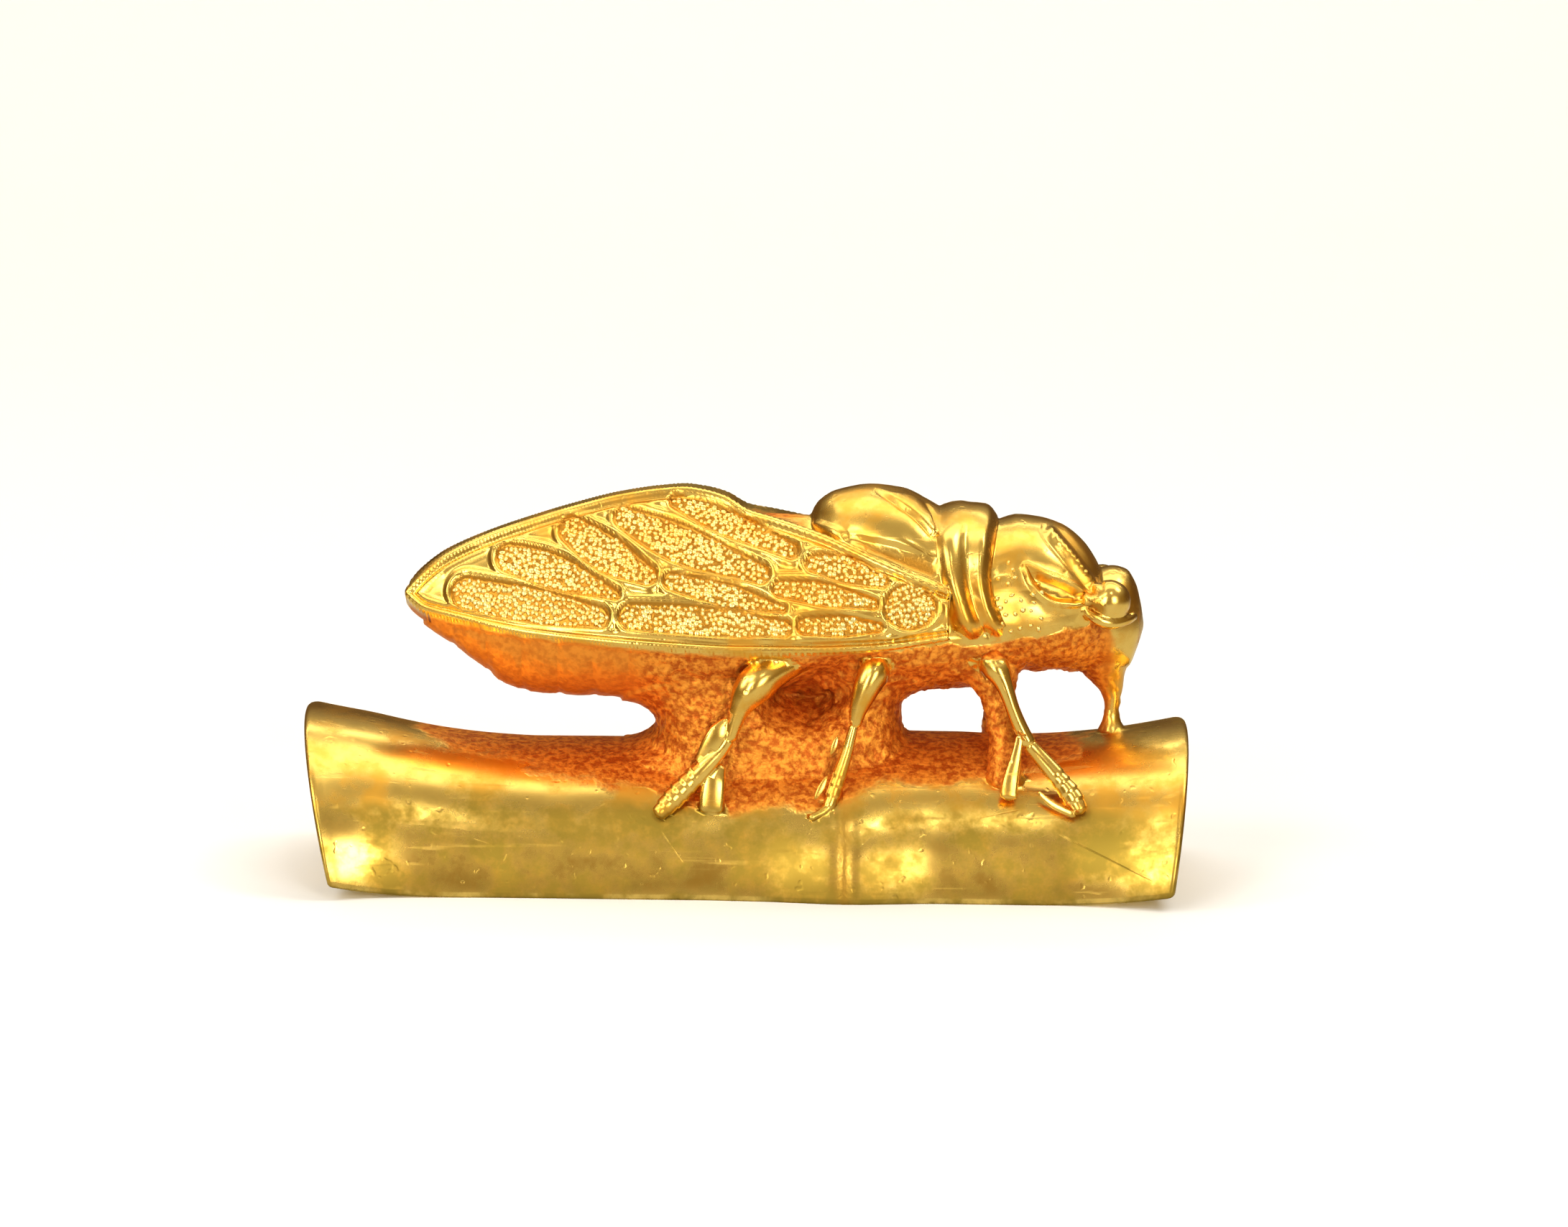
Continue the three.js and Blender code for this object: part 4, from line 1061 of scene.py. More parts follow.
@dataclass(frozen=True)
class GiltBronze:
    """Polished gilt bronze that turns into coarse orange casting skin where it was never reached."""

    bright: tuple[float, ...] = (0.97, 0.63, 0.14, 1)
    warm: tuple[float, ...] = (0.92, 0.47, 0.06, 1)
    # olive: tarnish colour, also laid on as painted dark reflection on the lower stem and at the stem's front
    # top
    olive: tuple[float, ...] = (0.37, 0.25, 0.035, 1)
    # hollow: warm unpolished metal darkened as painted shade in the cells, the dome's facet, the eye cup and
    # the node
    hollow: tuple[float, ...] = (0.56, 0.26, 0.03, 1)
    skin: tuple[float, ...] = (0.98, 0.38, 0.04, 1)
    skin_dark: tuple[float, ...] = (0.55, 0.12, 0.008, 1)
    # dark colour of the painted shade in the hollows of the raw skin
    crevice_shade_colour: tuple[float, ...] = (0.22, 0.045, 0.004, 1)
    polish: float = 0.2
    worn: float = 0.33
    skin_roughness: float = 0.52
    skin_metal: float = 0.82
    calm_shade: float = 0.62
    mottle: Noise = Noise(0.0016, 5, 0.62)
    ripple: Noise = Noise(0.0016, 1, 0.4)
    coarse: Noise = Noise(0.00054, 3, 0.7)
    fine: Noise = Noise(0.00018, 2, 0.6)
    scratch: Noise = Noise(0.00022, 2, 0.5)
    pits: Noise = Noise(0.00028, 1, 0.5)
    grain_height: float = 0.00008
    ripple_height: float = 0.000007
    pit_height: float = 0.00001
    scratch_height: float = -0.0000025
    hairline_height: float = -0.00001
    skin_ragged: float = 1.1
    skin_edge: Range = (0.2, 0.8)
    skin_start: Range = (0.0, 0.4)
    warm_steps: Range = (0.42, 0.64)
    stain_mix: Range = (0.7, 0.3)
    stain_steps: Range = (0.34, 0.6)
    shade_mix: tuple[float, float, float] = (0.75, 0.15, 0.1)
    shade_steps: Range = (0.38, 0.62)
    worn_steps: Range = (0.35, 0.7)
    scratch_steps: Range = (0.6, 0.72)
    scratch_cut: Range = (0.6, 0.75)
    scratch_stretch: tuple[float, ...] = (0.04, 1.0, 1.0)
    scratch_turn: float = 0.35
    pit_steps: Range = (0.2, 0.34)
    scratch_wear: float = 0.1
    stain_wear: float = 0.12
    hairline_wear: float = 0.25
    deep_wear: float = 0.12
    deep_grain: float = 0.7
    hairlines: Pairs = ((17.3, 3.9, 22.9, 1.5), (17.6, 3.85, 21.9, 1.95), (-4.6, 3.7, -3.3, 2.0),
                        (13.0, 4.6, 15.6, 5.1), (-15.0, 3.2, -13.6, 2.8))
    hairline_width: float = 0.035
    hairline_blend: float = 0.2
    hairline_start: float = 0.1
    hairline_end: float = 0.8
    hairline_side: Range = (-0.005, -0.006)

    def hairline(self, tree: "Nodes", place: bpy.types.NodeSocket) -> bpy.types.NodeSocket:
        """Share of each point that lies on one of the long hairline scratches of the front."""
        split = tree.add("ShaderNodeSeparateXYZ")
        tree.join(place, split.inputs[0])
        along, across, up = split.outputs
        found = None
        for start_x, start_z, end_x, end_z in np.array(self.hairlines) * MM:
            length = math.hypot(end_x - start_x, end_z - start_z)
            way_x, way_z = (end_x - start_x) / length, (end_z - start_z) / length
            off_x, off_z = tree.math("SUBTRACT", along, start_x), tree.math("SUBTRACT", up, start_z)
            run = tree.mixed((off_x, off_z), (way_x, way_z))
            away = tree.math("ABSOLUTE", tree.mixed((off_x, off_z), (way_z, -way_x)), None)
            width = self.hairline_width * MM
            near = tree.steps(away, width, self.hairline_blend * width)
            begun = tree.steps(run, 0, self.hairline_start * length)
            inside = tree.math("MULTIPLY", begun, tree.steps(run, length, self.hairline_end * length))
            mark = tree.math("MULTIPLY", near, inside)
            found = mark if found is None else tree.math("MAXIMUM", found, mark)
        return tree.math("MULTIPLY", found, tree.steps(across, *self.hairline_side))

    def material(self, name: str) -> bpy.types.Material:
        """Node material of the finish.

        Args:
            name: what to call it.

        Returns:
            The material, reading Object coordinates and the casting's own attributes.
        """
        made = bpy.data.materials.new(name)
        made.use_nodes = True
        tree = Nodes(made.node_tree)
        shader = tree.find("ShaderNodeBsdfPrincipled")
        place = tree.add("ShaderNodeTexCoord").outputs["Object"]
        raw, grit, unpolished_and_shade, tarnish_shade_and_reflection = (tree.attribute(mark) for mark in (RAW, GRIT, UNPOLISHED_AND_SHADE, TARNISH_SHADE_AND_REFLECTION))

        mottle = tree.noise(place, self.mottle)
        fine = tree.noise(place, self.fine)
        coarse = tree.noise(place, self.coarse)
        ragged = tree.math("MULTIPLY", tree.math("SUBTRACT", coarse, 0.5), self.skin_ragged)
        skin_share = tree.math("MULTIPLY", tree.steps(tree.math("ADD", raw, ragged), *self.skin_edge),
                               tree.steps(raw, *self.skin_start))

        gold = tree.blend(tree.steps(mottle, *self.warm_steps), self.bright, self.warm)
        patina = tree.mixed((mottle, coarse), self.stain_mix)
        # olive stain: tarnish where the patina pattern falls, plus painted dark reflection on the lower stem
        # and at its front top
        stain_and_dark_reflection = tree.math("MULTIPLY", tarnish_shade_and_reflection, tree.steps(patina, *self.stain_steps))
        gold = tree.blend(stain_and_dark_reflection, gold, self.olive)
        # darker warm colour in the recesses: unpolished metal and painted shade
        gold = tree.blend(unpolished_and_shade, gold, self.hollow)
        patch = tree.mixed((fine, coarse, mottle), self.shade_mix)
        shade = tree.between(grit, self.calm_shade, tree.steps(patch, *self.shade_steps))
        skin = tree.blend(shade, self.skin_dark, self.skin)
        # painted shade in the hollows of the raw skin
        skin = tree.blend(tarnish_shade_and_reflection, skin, self.crevice_shade_colour)
        tree.join(tree.blend(skin_share, gold, skin), shader.inputs["Base Color"])

        stretched = tree.stretched(place, self.scratch_stretch, self.scratch_turn)
        scratch = tree.noise(stretched, self.scratch)
        pits = tree.noise(place, self.pits)
        ripple = tree.noise(place, self.ripple)
        hairline = self.hairline(tree, place)
        smooth = tree.between(tree.steps(mottle, *self.worn_steps), self.polish, self.worn)
        scratched = tree.steps(scratch, *self.scratch_steps)
        for wear, amount in ((scratched, self.scratch_wear), (stain_and_dark_reflection, self.stain_wear),
                             (hairline, self.hairline_wear), (unpolished_and_shade, self.deep_wear)):
            smooth = tree.math("ADD", smooth, tree.math("MULTIPLY", wear, amount))
        tree.join(tree.between(skin_share, smooth, self.skin_roughness), shader.inputs["Roughness"])
        tree.join(tree.between(skin_share, 1.0, self.skin_metal), shader.inputs["Metallic"])

        coarse_share = tree.math("MAXIMUM", tree.math("MULTIPLY", skin_share, grit),
                                 tree.math("MULTIPLY", unpolished_and_shade, self.deep_grain))
        rough = tree.math("MULTIPLY", tree.math("ADD", fine, coarse), coarse_share)
        pitted, cut = tree.steps(pits, *self.pit_steps), tree.steps(scratch, *self.scratch_cut)
        bent = None
        for height, distance in ((ripple, self.ripple_height), (pitted, self.pit_height),
                                 (cut, self.scratch_height), (hairline, self.hairline_height),
                                 (rough, self.grain_height)):
            bent = tree.bump(height, distance, bent)
        tree.join(bent, shader.inputs["Normal"])
        return made


@dataclass(frozen=True)
class PaintedHighlightGilt(GiltBronze):
    """Paler copy of the gilt for the raised grains and the cheek beads: a painted highlight that makes their
    tips read pale.
    """

    bright: tuple[float, ...] = (1.0, 0.80, 0.30, 1)
    warm: tuple[float, ...] = (0.98, 0.68, 0.17, 1)
    polish: float = 0.28


class Nodes:
    """Short calls that lay out a material's nodes."""

    def __init__(self, tree: bpy.types.NodeTree) -> None:
        """Keeps the tree to add to."""
        self.tree = tree

    def find(self, kind: str) -> bpy.types.Node:
        """First node of a kind."""
        return next(node for node in self.tree.nodes if node.bl_idname == kind)

    def add(self, kind: str) -> bpy.types.Node:
        """New node of a kind."""
        return self.tree.nodes.new(kind)

    def join(self, value: object, socket: bpy.types.NodeSocket) -> None:
        """Sets a socket to a number or colour, or links an output to it."""
        if isinstance(value, bpy.types.NodeSocket):
            self.tree.links.new(value, socket)
        elif value is not None:
            socket.default_value = value

    def attribute(self, name: str) -> bpy.types.NodeSocket:
        """Value of one of the mesh's own attributes."""
        node = self.add("ShaderNodeAttribute")
        node.attribute_name = name
        return node.outputs["Fac"]

    def noise(self, place: bpy.types.NodeSocket, kind: Noise) -> bpy.types.NodeSocket:
        """Noise over a surface; one lump is half a cell of the texture."""
        node = self.add("ShaderNodeTexNoise")
        self.join(place, node.inputs["Vector"])
        node.inputs["Scale"].default_value = 0.5 / kind.size
        node.inputs["Detail"].default_value = kind.detail
        node.inputs["Roughness"].default_value = kind.strength
        return node.outputs["Fac"]

    def stretched(self, place: bpy.types.NodeSocket, scale: tuple[float, ...], turn: float
                  ) -> bpy.types.NodeSocket:
        """Coordinates drawn out along a direction in the XZ plane."""
        node = self.add("ShaderNodeMapping")
        self.join(place, node.inputs["Vector"])
        node.inputs["Rotation"].default_value = (0, turn, 0)
        node.inputs["Scale"].default_value = scale
        return node.outputs["Vector"]

    def math(self, kind: str, a: object, b: object) -> bpy.types.NodeSocket:
        """Two values worked together."""
        node = self.add("ShaderNodeMath")
        node.operation = kind
        self.join(a, node.inputs[0])
        self.join(b, node.inputs[1])
        return node.outputs["Value"]

    def mixed(self, values: tuple[bpy.types.NodeSocket, ...], shares: tuple[float, ...]
              ) -> bpy.types.NodeSocket:
        """Sum of values, each times its share."""
        total = None
        for value, share in zip(values, shares):
            part = self.math("MULTIPLY", value, share)
            total = part if total is None else self.math("ADD", total, part)
        return total

    def steps(self, value: bpy.types.NodeSocket, low: float, high: float) -> bpy.types.NodeSocket:
        """Smooth rise of a value from 0 at low to 1 at high."""
        node = self.add("ShaderNodeMapRange")
        node.interpolation_type = "SMOOTHSTEP"
        self.join(value, node.inputs["Value"])
        node.inputs["From Min"].default_value = low
        node.inputs["From Max"].default_value = high
        return node.outputs["Result"]

    def between(self, share: bpy.types.NodeSocket, low: object, high: object) -> bpy.types.NodeSocket:
        """Value part of the way from low to high."""
        node = self.add("ShaderNodeMix")
        self.join(share, node.inputs[0])
        self.join(low, node.inputs[2])
        self.join(high, node.inputs[3])
        return node.outputs[0]

    def blend(self, share: bpy.types.NodeSocket, low: object, high: object) -> bpy.types.NodeSocket:
        """Colour part of the way from low to high."""
        node = self.add("ShaderNodeMix")
        node.data_type = "RGBA"
        self.join(share, node.inputs[0])
        self.join(low, node.inputs[6])
        self.join(high, node.inputs[7])
        return node.outputs[2]

    def bump(self, height: bpy.types.NodeSocket, distance: float, under: bpy.types.NodeSocket | None
             ) -> bpy.types.NodeSocket:
        """Normal bent by a height, on top of another bend."""
        node = self.add("ShaderNodeBump")
        node.invert = distance < 0
        node.inputs["Strength"].default_value = 1.0
        node.inputs["Distance"].default_value = abs(distance)
        self.join(height, node.inputs["Height"])
        self.join(under, node.inputs["Normal"])
        return node.outputs["Normal"]


@dataclass
class Survey:
    """What is known of each vertex of the casting before it is marked."""

    points: np.ndarray
    normals: np.ndarray
    edge: np.ndarray
    openness: np.ndarray
    on_stem: np.ndarray
    on_wing: np.ndarray


@dataclass
class Wear:
    """Where the casting was polished, where it was left raw, where it has tarnished, and where shade and dark
    reflection are painted on.
    """

    belly_line: Pairs = (
        (-19.3, 15.3), (-16.9, 15.0), (-12.2, 14.25), (-4.8, 13.8), (-0.4, 13.6), (3.5, 13.6), (7.35, 13.85),
        (11.2, 14.35), (12.4, 14.2), (13.4, 14.15), (14.2, 14.4), (15.0, 14.6), (16.2, 14.65), (17.6, 15.0),
        (19.3, 15.2), (20.4, 14.8), (21.2, 13.2), (21.6, 9.0),
    )
    stem_line: Pairs = (
        (-22.0, 10.5), (-18.0, 7.6), (-12.0, 6.2), (-5.5, 5.4), (-3.2, 4.8), (-1.0, 4.3), (4.5, 4.3),
        (5.4, 5.0), (8.5, 6.0), (13.0, 6.0), (16.0, 6.3), (18.0, 7.3), (20.5, 8.8),
    )
    # darker olive patches low on the stem
    dark_patches: Pairs = ((-10.8, 2.2, 2.6, 0.9), (-17.0, 3.4, 4.5, 0.5), (-3.0, 2.6, 3.5, 0.45),
                            (13.5, 2.4, 3.8, 0.5), (20.0, 3.0, 3.0, 0.35))
    facet: Pairs = ((6.6, 19.1, 0.1), (8.0, 18.75, 0.35), (9.3, 18.5, 0.4), (10.2, 18.1, 0.3))
    leg_low: float = 3.4
    leg_high: float = 13.4
    leg_out: float = 3.6
    leg_edge: float = 1.05
    leg_blend: float = 0.3
    leg_facing: Range = (-0.35, 0.15)
    leg_top: float = 13.5
    leg_top_blend: float = 0.3
    edge_lumps: Layers = ((0.3, 1.1, Lumps.EDGE), (0.15, 0.45, Lumps.FINE_EDGE))
    belly_ragged: float = 0.4
    belly_edge: Range = (-0.05, 0.35)
    beak_share: float = 0.25
    beak_ragged: float = 0.5
    beak_start: Range = (20.1, 20.9)
    stem_ragged: float = 1.4
    stem_edge: Range = (-0.3, 0.9)
    stem_end: float = 23.0
    stem_end_blend: float = 2.0
    back_level: Range = (19.8, 20.3)
    back_inset: float = 0.15
    back_end: float = 3.6
    back_blend: float = 0.4
    back_share: float = 0.7
    crevice_open: float = 0.36
    crevice_blend: float = 0.3
    crevice_share: float = 0.4
    calm_share: float = 0.4
    calm_rear: float = -5.2
    calm_rear_blend: float = 1.2
    calm_level: Range = (9.4, 9.8)
    calm_beak: Range = (19.6, 20.6)
    cell_wall: float = 0.06
    cell_blend: float = 0.14
    cell_facing: Range = (0.2, 0.4)
    facet_wall: Range = (-0.25, 0.15)
    facet_above: Range = (0.1, 0.3)
    facet_end: float = 10.6
    facet_blend: float = 0.3
    eye_cup: tuple[float, float] = (19.45, 16.05)
    eye_cup_radius: float = 0.55
    eye_cup_wall: Range = (-0.15, 0.1)
    eye_cup_out: float = 2.6
    node_tint: float = 0.4
    node_tint_width: float = 0.45
    node_tint_top: float = 6.0
    spot_edge: float = 1.25
    spot_blend: float = 0.7
    spot_flatness: float = 0.5
    spot_top: float = 7.5
    tarnish_all: float = 0.12
    # painted dark reflection: olive darkening low on the stem and at its front top
    painted_reflection_low: float = 0.8
    painted_reflection_low_top: float = 5.6
    painted_reflection_front: float = 0.75
    painted_reflection_front_start: Range = (17.5, 20.5)
    painted_reflection_front_level: Range = (6.6, 8.4)
    # painted shade in the hollows of the raw skin, where little light reaches
    crevice_shade_open: float = 0.58
    crevice_shade_blend: float = 0.4
    crevice_shade_raw: Range = (0.3, 0.8)
    crevice_shade_off_stem: float = 0.85
    rays: int = 20
    ray_length: float = 3.0
    ray_lift: float = 0.03

    def leg_share(self, seen: Survey) -> np.ndarray:
        """How far each vertex is on the outer, polished face of a leg."""
        paths = [Limb(stops).path() for stops in Legs().stops()]
        places = np.concatenate([path for path, _ in paths])
        widths = np.concatenate([width for _, width in paths])
        tree = kdtree.KDTree(len(places))
        for i, place in enumerate(places):
            tree.insert(place, i)
        tree.balance()
        x, y, z = seen.points.T
        share = np.zeros(len(seen.points))
        for i in np.flatnonzero((z < self.leg_high) & (z > self.leg_low) & (np.abs(y) > self.leg_out)):
            _, found, distance = tree.find((x[i], abs(y[i]), z[i]))
            share[i] = 1 - (distance / widths[found] - self.leg_edge) / self.leg_blend
        outer = ramp(seen.normals[:, 1] * np.sign(y), *self.leg_facing)
        return np.clip(share, 0, 1) * outer * ramp(self.leg_top - z, 0, self.leg_top_blend)

    def survey(self, mesh: bpy.types.Mesh) -> Survey:
        """What is known of each vertex of the casting, in millimetres."""
        points = points_of(mesh)
        edge = sum(share * lattice_noise(points, size, lumps) for share, size, lumps in self.edge_lumps)
        openness = reach_of_light(mesh, self.rays, self.ray_length, self.ray_lift)
        return Survey(points, normals_of(mesh), edge, openness, Stem().covers(points), Wing().covers(points))

    def raw(self, seen: Survey) -> np.ndarray:
        """Share of raw casting skin."""
        x, y, z = seen.points.T
        below = Profile(self.belly_line)(x) - z + self.belly_ragged * seen.edge
        belly = ramp(below, *self.belly_edge) * ~seen.on_wing
        belly *= 1 - (1 - self.beak_share) * ramp(x + self.beak_ragged * seen.edge, *self.beak_start)
        above = z + self.stem_ragged * seen.edge - Profile(self.stem_line)(x)
        top = ramp(above, *self.stem_edge) * ramp(self.stem_end - np.abs(x), 0, self.stem_end_blend)
        raw = belly * (1 - seen.on_stem) + top * seen.on_stem
        between = np.abs(y) < Wing().edges(x)[0] - self.back_inset
        back = ramp(z, *self.back_level) * between * ramp(self.back_end - x, 0, self.back_blend)
        crevice = ramp(self.crevice_open - seen.openness, 0, self.crevice_blend)
        raw = np.maximum(raw, self.back_share * back) + self.crevice_share * crevice
        return np.clip(raw, 0, 1) * (1 - self.leg_share(seen))

    def grit(self, seen: Survey, raw: np.ndarray) -> np.ndarray:
        """Coarseness of the raw skin, which is calmer under the abdomen and on the beak."""
        x, _, z = seen.points.T
        calm = ramp(self.calm_rear - x, 0, self.calm_rear_blend) * ramp(z, *self.calm_level)
        calm += ramp(x, *self.calm_beak)
        return raw * (1 - (1 - self.calm_share) * np.clip(calm, 0, 1))

    def unpolished_and_shade(self, seen: Survey) -> np.ndarray:
        """Share of warm, darker metal in the wing's cells, under the dome, by the eye and at the node: partly
        unpolished metal, partly painted shade in these recesses.
        """
        x, y, z = seen.points.T
        # darker floors of the wing's cells: unpolished metal with painted shade
        cell = ramp(self.cell_wall - Wing().cell_distance(x, z), 0.0, self.cell_blend)
        unpolished_and_shade = seen.on_wing * cell * ramp(np.abs(seen.normals[:, 1]), *self.cell_facing)
        # painted shade in the groove under the dome
        facet, _ = strip(x, z, self.facet)
        clear = ramp(z - Wing().edges(x)[1], *self.facet_above)
        clear *= ramp(self.facet_end - x, 0, self.facet_blend)
        unpolished_and_shade = np.maximum(unpolished_and_shade, ramp(-facet, *self.facet_wall) * clear)
        # painted shade in the cup beside the eye
        away = np.hypot(x - self.eye_cup[0], z - self.eye_cup[1]) - self.eye_cup_radius
        unpolished_and_shade = np.maximum(unpolished_and_shade, ramp(-away, *self.eye_cup_wall) * (np.abs(y) > self.eye_cup_out))
        node = swell(x, Stem.node_x, self.node_tint_width) * seen.on_stem
        node *= ramp(self.node_tint_top + seen.edge - z, 0, 1)
        return np.maximum(unpolished_and_shade, self.node_tint * node)

    def tarnish_shade_and_reflection(self, seen: Survey, raw: np.ndarray) -> np.ndarray:
        """Share of olive darkening on the polished metal, from tarnish, darker patches and painted dark
        reflection on the lower stem and the stem's front top, and of painted shade in the hollows of the raw
        skin.
        """
        x, _, z = seen.points.T
        spots = np.zeros(len(x))
        for spot_x, spot_z, reach, depth in self.dark_patches:
            away = np.hypot((x - spot_x) / reach, (z - spot_z) / (self.spot_flatness * reach))
            spots = np.maximum(spots, depth * ramp(self.spot_edge + seen.edge - away, 0, self.spot_blend))
        # painted dark reflection, darker olive low on the stem
        low = self.painted_reflection_low * seen.on_stem * ramp(self.painted_reflection_low_top + seen.edge - z, 0, 1)
        tarnish_shade_and_reflection = spots * ramp(self.spot_top - z, 0, 1) + self.tarnish_all + low
        # painted dark reflection at the stem's front top
        front = self.painted_reflection_front * seen.on_stem * ramp(x, *self.painted_reflection_front_start)
        tarnish_shade_and_reflection = np.maximum(tarnish_shade_and_reflection, front * ramp(z + seen.edge, *self.painted_reflection_front_level))
        # painted shade where the raw skin is closed in
        crevice_shade = ramp(self.crevice_shade_open - seen.openness, 0, self.crevice_shade_blend) * ramp(raw, *self.crevice_shade_raw)
        crevice_shade *= 1 - self.crevice_shade_off_stem * seen.on_stem
        return np.clip(np.maximum(tarnish_shade_and_reflection * (1 - raw), crevice_shade), 0, 1)

    def marks(self, mesh: bpy.types.Mesh) -> dict[str, np.ndarray]:
        """Marks of the casting's surface.

        Args:
            mesh: the casting in millimetres.

        Returns:
            A value from 0 to 1 at each vertex, by attribute name.
        """
        seen = self.survey(mesh)
        raw = self.raw(seen)
        return {RAW: raw, GRIT: self.grit(seen, raw), UNPOLISHED_AND_SHADE: self.unpolished_and_shade(seen), TARNISH_SHADE_AND_REFLECTION: self.tarnish_shade_and_reflection(seen, raw)}

    def paint(self, made: bpy.types.Object) -> None:
        """Stores the marks on the casting's mesh."""
        for name, values in self.marks(made.data).items():
            layer = made.data.attributes.new(name, "FLOAT", "POINT")
            layer.data.foreach_set("value", values.astype(np.float32))


@dataclass
class Grains:
    """Small raised grains scattered over a patch of surface by Geometry Nodes."""

    name: str
    spacing: float
    grain: float
    flatness: float = 0.8
    smallest: float = 0.65
    largest: float = 1.25
    tilt: float = 0.3
    crowding: float = 4.0
    segments: int = 8
    rings: int = 4
    seed: int = 11

    def tree(self, material: bpy.types.Material) -> bpy.types.NodeTree:
        """Node group that scatters grains over a patch.

        Args:
            material: finish of the grains.

        Returns:
            The group, with inputs Spacing, Grain and Seed.
        """
        group = bpy.data.node_groups.new(self.name, "GeometryNodeTree")
        face = group.interface
        face.new_socket("Patch", in_out="INPUT", socket_type="NodeSocketGeometry")
        for name in ("Spacing", "Grain"):
            face.new_socket(name, in_out="INPUT", socket_type="NodeSocketFloat")
        face.new_socket("Seed", in_out="INPUT", socket_type="NodeSocketInt")
        face.new_socket("Grains", in_out="OUTPUT", socket_type="NodeSocketGeometry")
        nodes = Nodes(group)
        given = nodes.add("NodeGroupInput").outputs
        scatter = nodes.add("GeometryNodeDistributePointsOnFaces")
        scatter.distribute_method = "POISSON"
        nodes.join(given["Patch"], scatter.inputs["Mesh"])
        nodes.join(given["Spacing"], scatter.inputs["Distance Min"])
        scatter.inputs["Density Max"].default_value = self.crowding / self.spacing**2
        nodes.join(given["Seed"], scatter.inputs["Seed"])
        ball = nodes.add("GeometryNodeMeshUVSphere")
        nodes.join(given["Grain"], ball.inputs["Radius"])
        ball.inputs["Segments"].default_value = self.segments
        ball.inputs["Rings"].default_value = self.rings
        size = nodes.add("FunctionNodeRandomValue")
        size.data_type = "FLOAT_VECTOR"
        size.inputs[0].default_value = (self.smallest, self.smallest, self.smallest * self.flatness)
        size.inputs[1].default_value = (self.largest, self.largest, self.largest * self.flatness)
        nodes.join(given["Seed"], size.inputs["Seed"])
        turn = nodes.add("FunctionNodeRandomValue")
        turn.data_type = "FLOAT_VECTOR"
        turn.inputs[0].default_value = (-self.tilt, -self.tilt, 0)
        turn.inputs[1].default_value = (self.tilt, self.tilt, 2 * math.pi)
        spin = nodes.add("FunctionNodeRotateRotation")
        spin.rotation_space = "LOCAL"
        nodes.join(scatter.outputs["Rotation"], spin.inputs[0])
        nodes.join(turn.outputs[0], spin.inputs[1])
        place = nodes.add("GeometryNodeInstanceOnPoints")
        nodes.join(scatter.outputs["Points"], place.inputs["Points"])
        nodes.join(ball.outputs["Mesh"], place.inputs["Instance"])
        nodes.join(spin.outputs[0], place.inputs["Rotation"])
        nodes.join(size.outputs[0], place.inputs["Scale"])
        real = nodes.add("GeometryNodeRealizeInstances")
        nodes.join(place.outputs["Instances"], real.inputs["Geometry"])
        soft = nodes.add("GeometryNodeSetShadeSmooth")
        nodes.join(real.outputs["Geometry"], soft.inputs["Geometry"])
        dress = nodes.add("GeometryNodeSetMaterial")
        dress.inputs["Material"].default_value = material
        nodes.join(soft.outputs["Geometry"], dress.inputs["Geometry"])
        nodes.join(dress.outputs["Geometry"], nodes.add("NodeGroupOutput").inputs["Grains"])
        return group

    def build(self, patch: Shell, material: bpy.types.Material) -> bpy.types.Object:
        """Grains over a patch given in millimetres, as a piece in metres."""
        made = joined(self.name, [Shell(patch.points * MM, patch.faces)])
        group = self.tree(material)
        scatter = made.modifiers.new("scatter", "NODES")
        scatter.node_group = group
        values = {"Spacing": self.spacing, "Grain": self.grain, "Seed": self.seed}
        for item in group.interface.items_tree:
            if item.in_out == "INPUT" and item.name in values:
                scatter[item.identifier] = values[item.name]
        settled(made)
        LOG.info("%s: %d faces", self.name, len(made.data.polygons))
        return made


@dataclass
class Cheeks:
    """Patches on both sides of the head, behind the eyes, that carry the beads."""

    rear_x: float = 14.15
    rear_lean: float = 0.3
    rear_level: float = 16.0
    rear_blend: float = 2.0
    band_width: float = 0.9
    band: Range = (14.8, 18.6)
    fan: Range = (15.2, 16.3)
    fan_low: float = 14.9
    fan_high: float = 17.0
    fan_slope: float = 0.5
    out: float = 2.8

    def patch(self, mesh: bpy.types.Mesh) -> Shell:
        """Open patch of a mesh's triangles, in the mesh's own units."""
        mesh.calc_loop_triangles()
        faces = np.empty(len(mesh.loop_triangles) * 3, np.int32)
        mesh.loop_triangles.foreach_get("vertices", faces)
        faces = faces.reshape(-1, 3)
        points = points_of(mesh)
        x, y, z = points[faces].mean(axis=1).T
        rear = self.rear_x + self.rear_lean * ramp(self.rear_level - z, 0, self.rear_blend)
        low, high = self.band
        band = (x > rear) & (x < rear + self.band_width) & (z > low) & (z < high)
        start, end = self.fan
        fan = (x > start) & (x < end) & (z > self.fan_low)
        fan &= z < self.fan_high + self.fan_slope * (x - start)
        return Shell(points, faces[(band | fan) & (np.abs(y) > self.out)])


@dataclass(frozen=True)
class Lamp:
    """Rectangular soft light: its middle, width and height, power, and the place that it faces."""

    name: str
    place: tuple[float, ...]
    size: tuple[float, float]
    watts: float
    towards: tuple[float, ...] = AIM

    def build(self, colour: tuple[float, ...]) -> None:
        """Adds the light to the scene."""
        light = bpy.data.lights.new(self.name, "AREA")
        light.shape = "RECTANGLE"
        light.size, light.size_y = self.size
        light.energy = self.watts
        light.color = colour
        made = bpy.data.objects.new(self.name, light)
        made.location = self.place
        made.rotation_euler = (Vector(self.towards) - Vector(self.place)).to_track_quat("-Z", "Y").to_euler()
        bpy.context.scene.collection.objects.link(made)


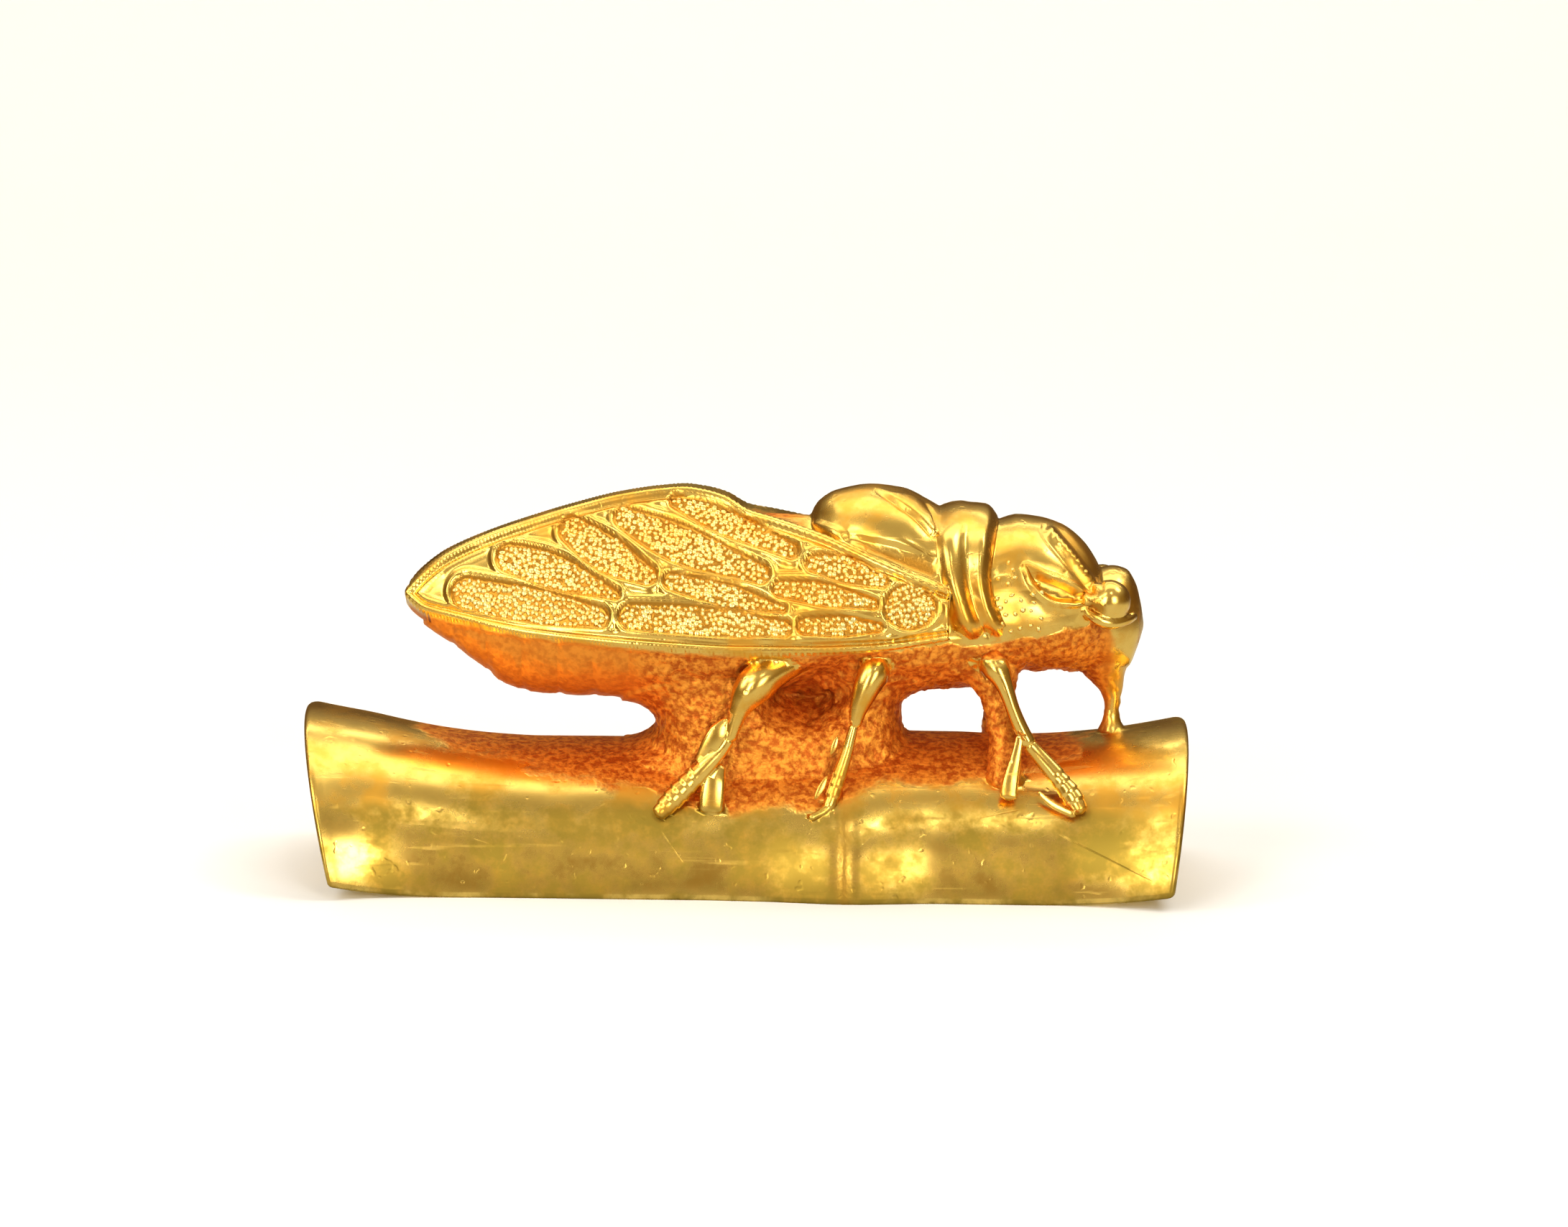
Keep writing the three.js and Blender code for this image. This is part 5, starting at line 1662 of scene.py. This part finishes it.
@dataclass
class Studio:
    """Pale floor that curves up into a backdrop, soft lights and the camera."""

    width: float = 1.6
    front: float = -3.2
    back: float = 0.55
    height: float = 0.9
    bend: float = 0.3
    paper: tuple[float, ...] = (0.95, 0.95, 0.945, 1)
    daylight: tuple[float, ...] = (1.0, 0.98, 0.94)
    lens: float = 100.0
    sensor: float = 36.0
    distance: float = 0.247
    elevation: float = 9.0
    roll: float = 0.785
    aim: tuple[float, ...] = AIM
    near_clip: float = 0.01
    bend_steps: int = 24
    paper_roughness: float = 0.9
    paper_sheen: float = 0.1
    room_front: tuple[float, ...] = (0.25, 0.17, 0.055, 1)
    room_back: tuple[float, ...] = (0.12, 0.07, 0.03, 1)
    room_above: tuple[float, ...] = (0.42, 0.38, 0.30, 1)
    room_below: tuple[float, ...] = (0.72, 0.70, 0.64, 1)
    room_turn: Range = (-0.5, 0.4)
    above_turn: Range = (0.3, 0.8)
    below_turn: Range = (-0.02, -0.3)
    lamps: tuple[Lamp, ...] = (
        Lamp("right_box", (0.21, -0.41, 0.12), (0.16, 0.22), 0.82),
        Lamp("left_box", (-0.21, -0.41, 0.14), (0.14, 0.26), 0.84),
        Lamp("left_side", (-0.40, -0.18, 0.30), (0.12, 0.22), 0.42),
        Lamp("overhead", (0.0, 0.06, 0.45), (0.6, 0.24), 0.85),
        Lamp("high_right", (0.30, -0.02, 0.42), (0.14, 0.14), 0.40),
        Lamp("high_left", (-0.24, -0.26, 0.36), (0.10, 0.12), 0.25),
        Lamp("spark", (0.07, -0.30, 0.40), (0.04, 0.04), 0.12),
        Lamp("backdrop", (0.0, 0.45, 0.62), (1.2, 0.15), 3.0, (0.0, 0.85, 0.1)),
        Lamp("front_floor", (0.0, -0.8, 0.8), (1.4, 0.3), 14.0, (0.0, -2.0, 0.0)),
    )

    def floor(self) -> None:
        """Paper sweep that the figurine stands on."""
        turn = np.linspace(0, math.pi / 2, self.bend_steps)
        y = np.concatenate(([self.front], self.back + self.bend * np.sin(turn), [self.back + self.bend]))
        z = np.concatenate(([0.0], self.bend * (1 - np.cos(turn)), [self.height]))
        lines = np.array([np.stack((np.full(y.size, side * self.width / 2), y, z), -1) for side in (-1, 1)])
        count = y.size
        quads = [(i, i + count, i + count + 1, i + 1) for i in range(count - 1)]
        mesh = bpy.data.meshes.new("paper_sweep")
        mesh.from_pydata([tuple(p) for p in lines.reshape(-1, 3)], [], quads)
        for polygon in mesh.polygons:
            polygon.use_smooth = True
        made = to_object("paper_sweep", mesh)
        paper = bpy.data.materials.new("paper")
        paper.use_nodes = True
        shader = Nodes(paper.node_tree).find("ShaderNodeBsdfPrincipled")
        shader.inputs["Base Color"].default_value = self.paper
        shader.inputs["Roughness"].default_value = self.paper_roughness
        shader.inputs["Specular IOR Level"].default_value = self.paper_sheen
        mesh.materials.append(paper)
        made.visible_glossy = False

    def surround(self) -> None:
        """World that is pale below where the table is, dim in front, and darker behind."""
        world = bpy.data.worlds.new("surround")
        world.use_nodes = True
        bpy.context.scene.world = world
        nodes = Nodes(world.node_tree)
        back = nodes.find("ShaderNodeBackground")
        direction = nodes.add("ShaderNodeTexCoord").outputs["Generated"]
        split = nodes.add("ShaderNodeSeparateXYZ")
        nodes.join(direction, split.inputs[0])
        _, along, up = split.outputs
        room = nodes.blend(nodes.steps(along, *self.room_turn), self.room_front, self.room_back)
        above = nodes.blend(nodes.steps(up, *self.above_turn), room, self.room_above)
        colour = nodes.blend(nodes.steps(up, *self.below_turn), above, self.room_below)
        nodes.join(colour, back.inputs["Color"])
        back.inputs["Strength"].default_value = 1.0

    def camera(self) -> None:
        """Camera at the photograph's viewing angle."""
        lens = bpy.data.cameras.new("camera")
        lens.lens = self.lens
        lens.sensor_width = self.sensor
        lens.clip_start = self.near_clip
        made = bpy.data.objects.new("camera", lens)
        rise = math.radians(self.elevation)
        away = Vector((0, -math.cos(rise), math.sin(rise)))
        made.location = Vector(self.aim) + away * self.distance
        turn = (-away).to_track_quat("-Z", "Y").to_matrix()
        made.rotation_euler = (turn @ Matrix.Rotation(math.radians(self.roll), 3, "Z")).to_euler()
        bpy.context.scene.collection.objects.link(made)
        bpy.context.scene.camera = made

    def build(self) -> None:
        """Stage, lights and camera."""
        self.floor()
        for lamp in self.lamps:
            lamp.build(self.daylight)
        self.surround()
        self.camera()
        bpy.context.scene.view_settings.view_transform = "Standard"


def main() -> None:
    """Builds the casting, its grains, the stage, the lights and the camera."""
    logging.basicConfig(level=logging.INFO, format="%(name)s %(message)s")
    gilt = GiltBronze().material("gilt_bronze")
    model = Casting()
    casting = model.build()
    Wear().paint(casting)
    cheek = Cheeks().patch(casting.data)
    casting.data.transform(Matrix.Scale(MM, 4))
    casting.data.polygons.foreach_set("use_smooth", [True] * len(casting.data.polygons))
    casting.data.materials.clear()
    casting.data.materials.append(gilt)
    floors = merged([model.wing.cell_floor().on(side) for side in Side])
    # paler copy of the gilt for the grains and beads: painted highlight
    pale_highlight_gilt = PaintedHighlightGilt().material("painted_highlight_gilt")
    stipple = Grains("wing_stipple", spacing=0.00023, grain=0.00019, flatness=0.6).build(floors, pale_highlight_gilt)
    beads = Grains("cheek_beads", spacing=0.00045, grain=0.00015, flatness=0.8).build(cheek, pale_highlight_gilt)
    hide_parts(NODE)
    for piece in (casting, stipple, beads):
        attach(piece, "root")
        LOG.info("%s: %d faces", piece.name, len(piece.data.polygons))
    Studio().build()


if __name__ == "__main__":
    main()
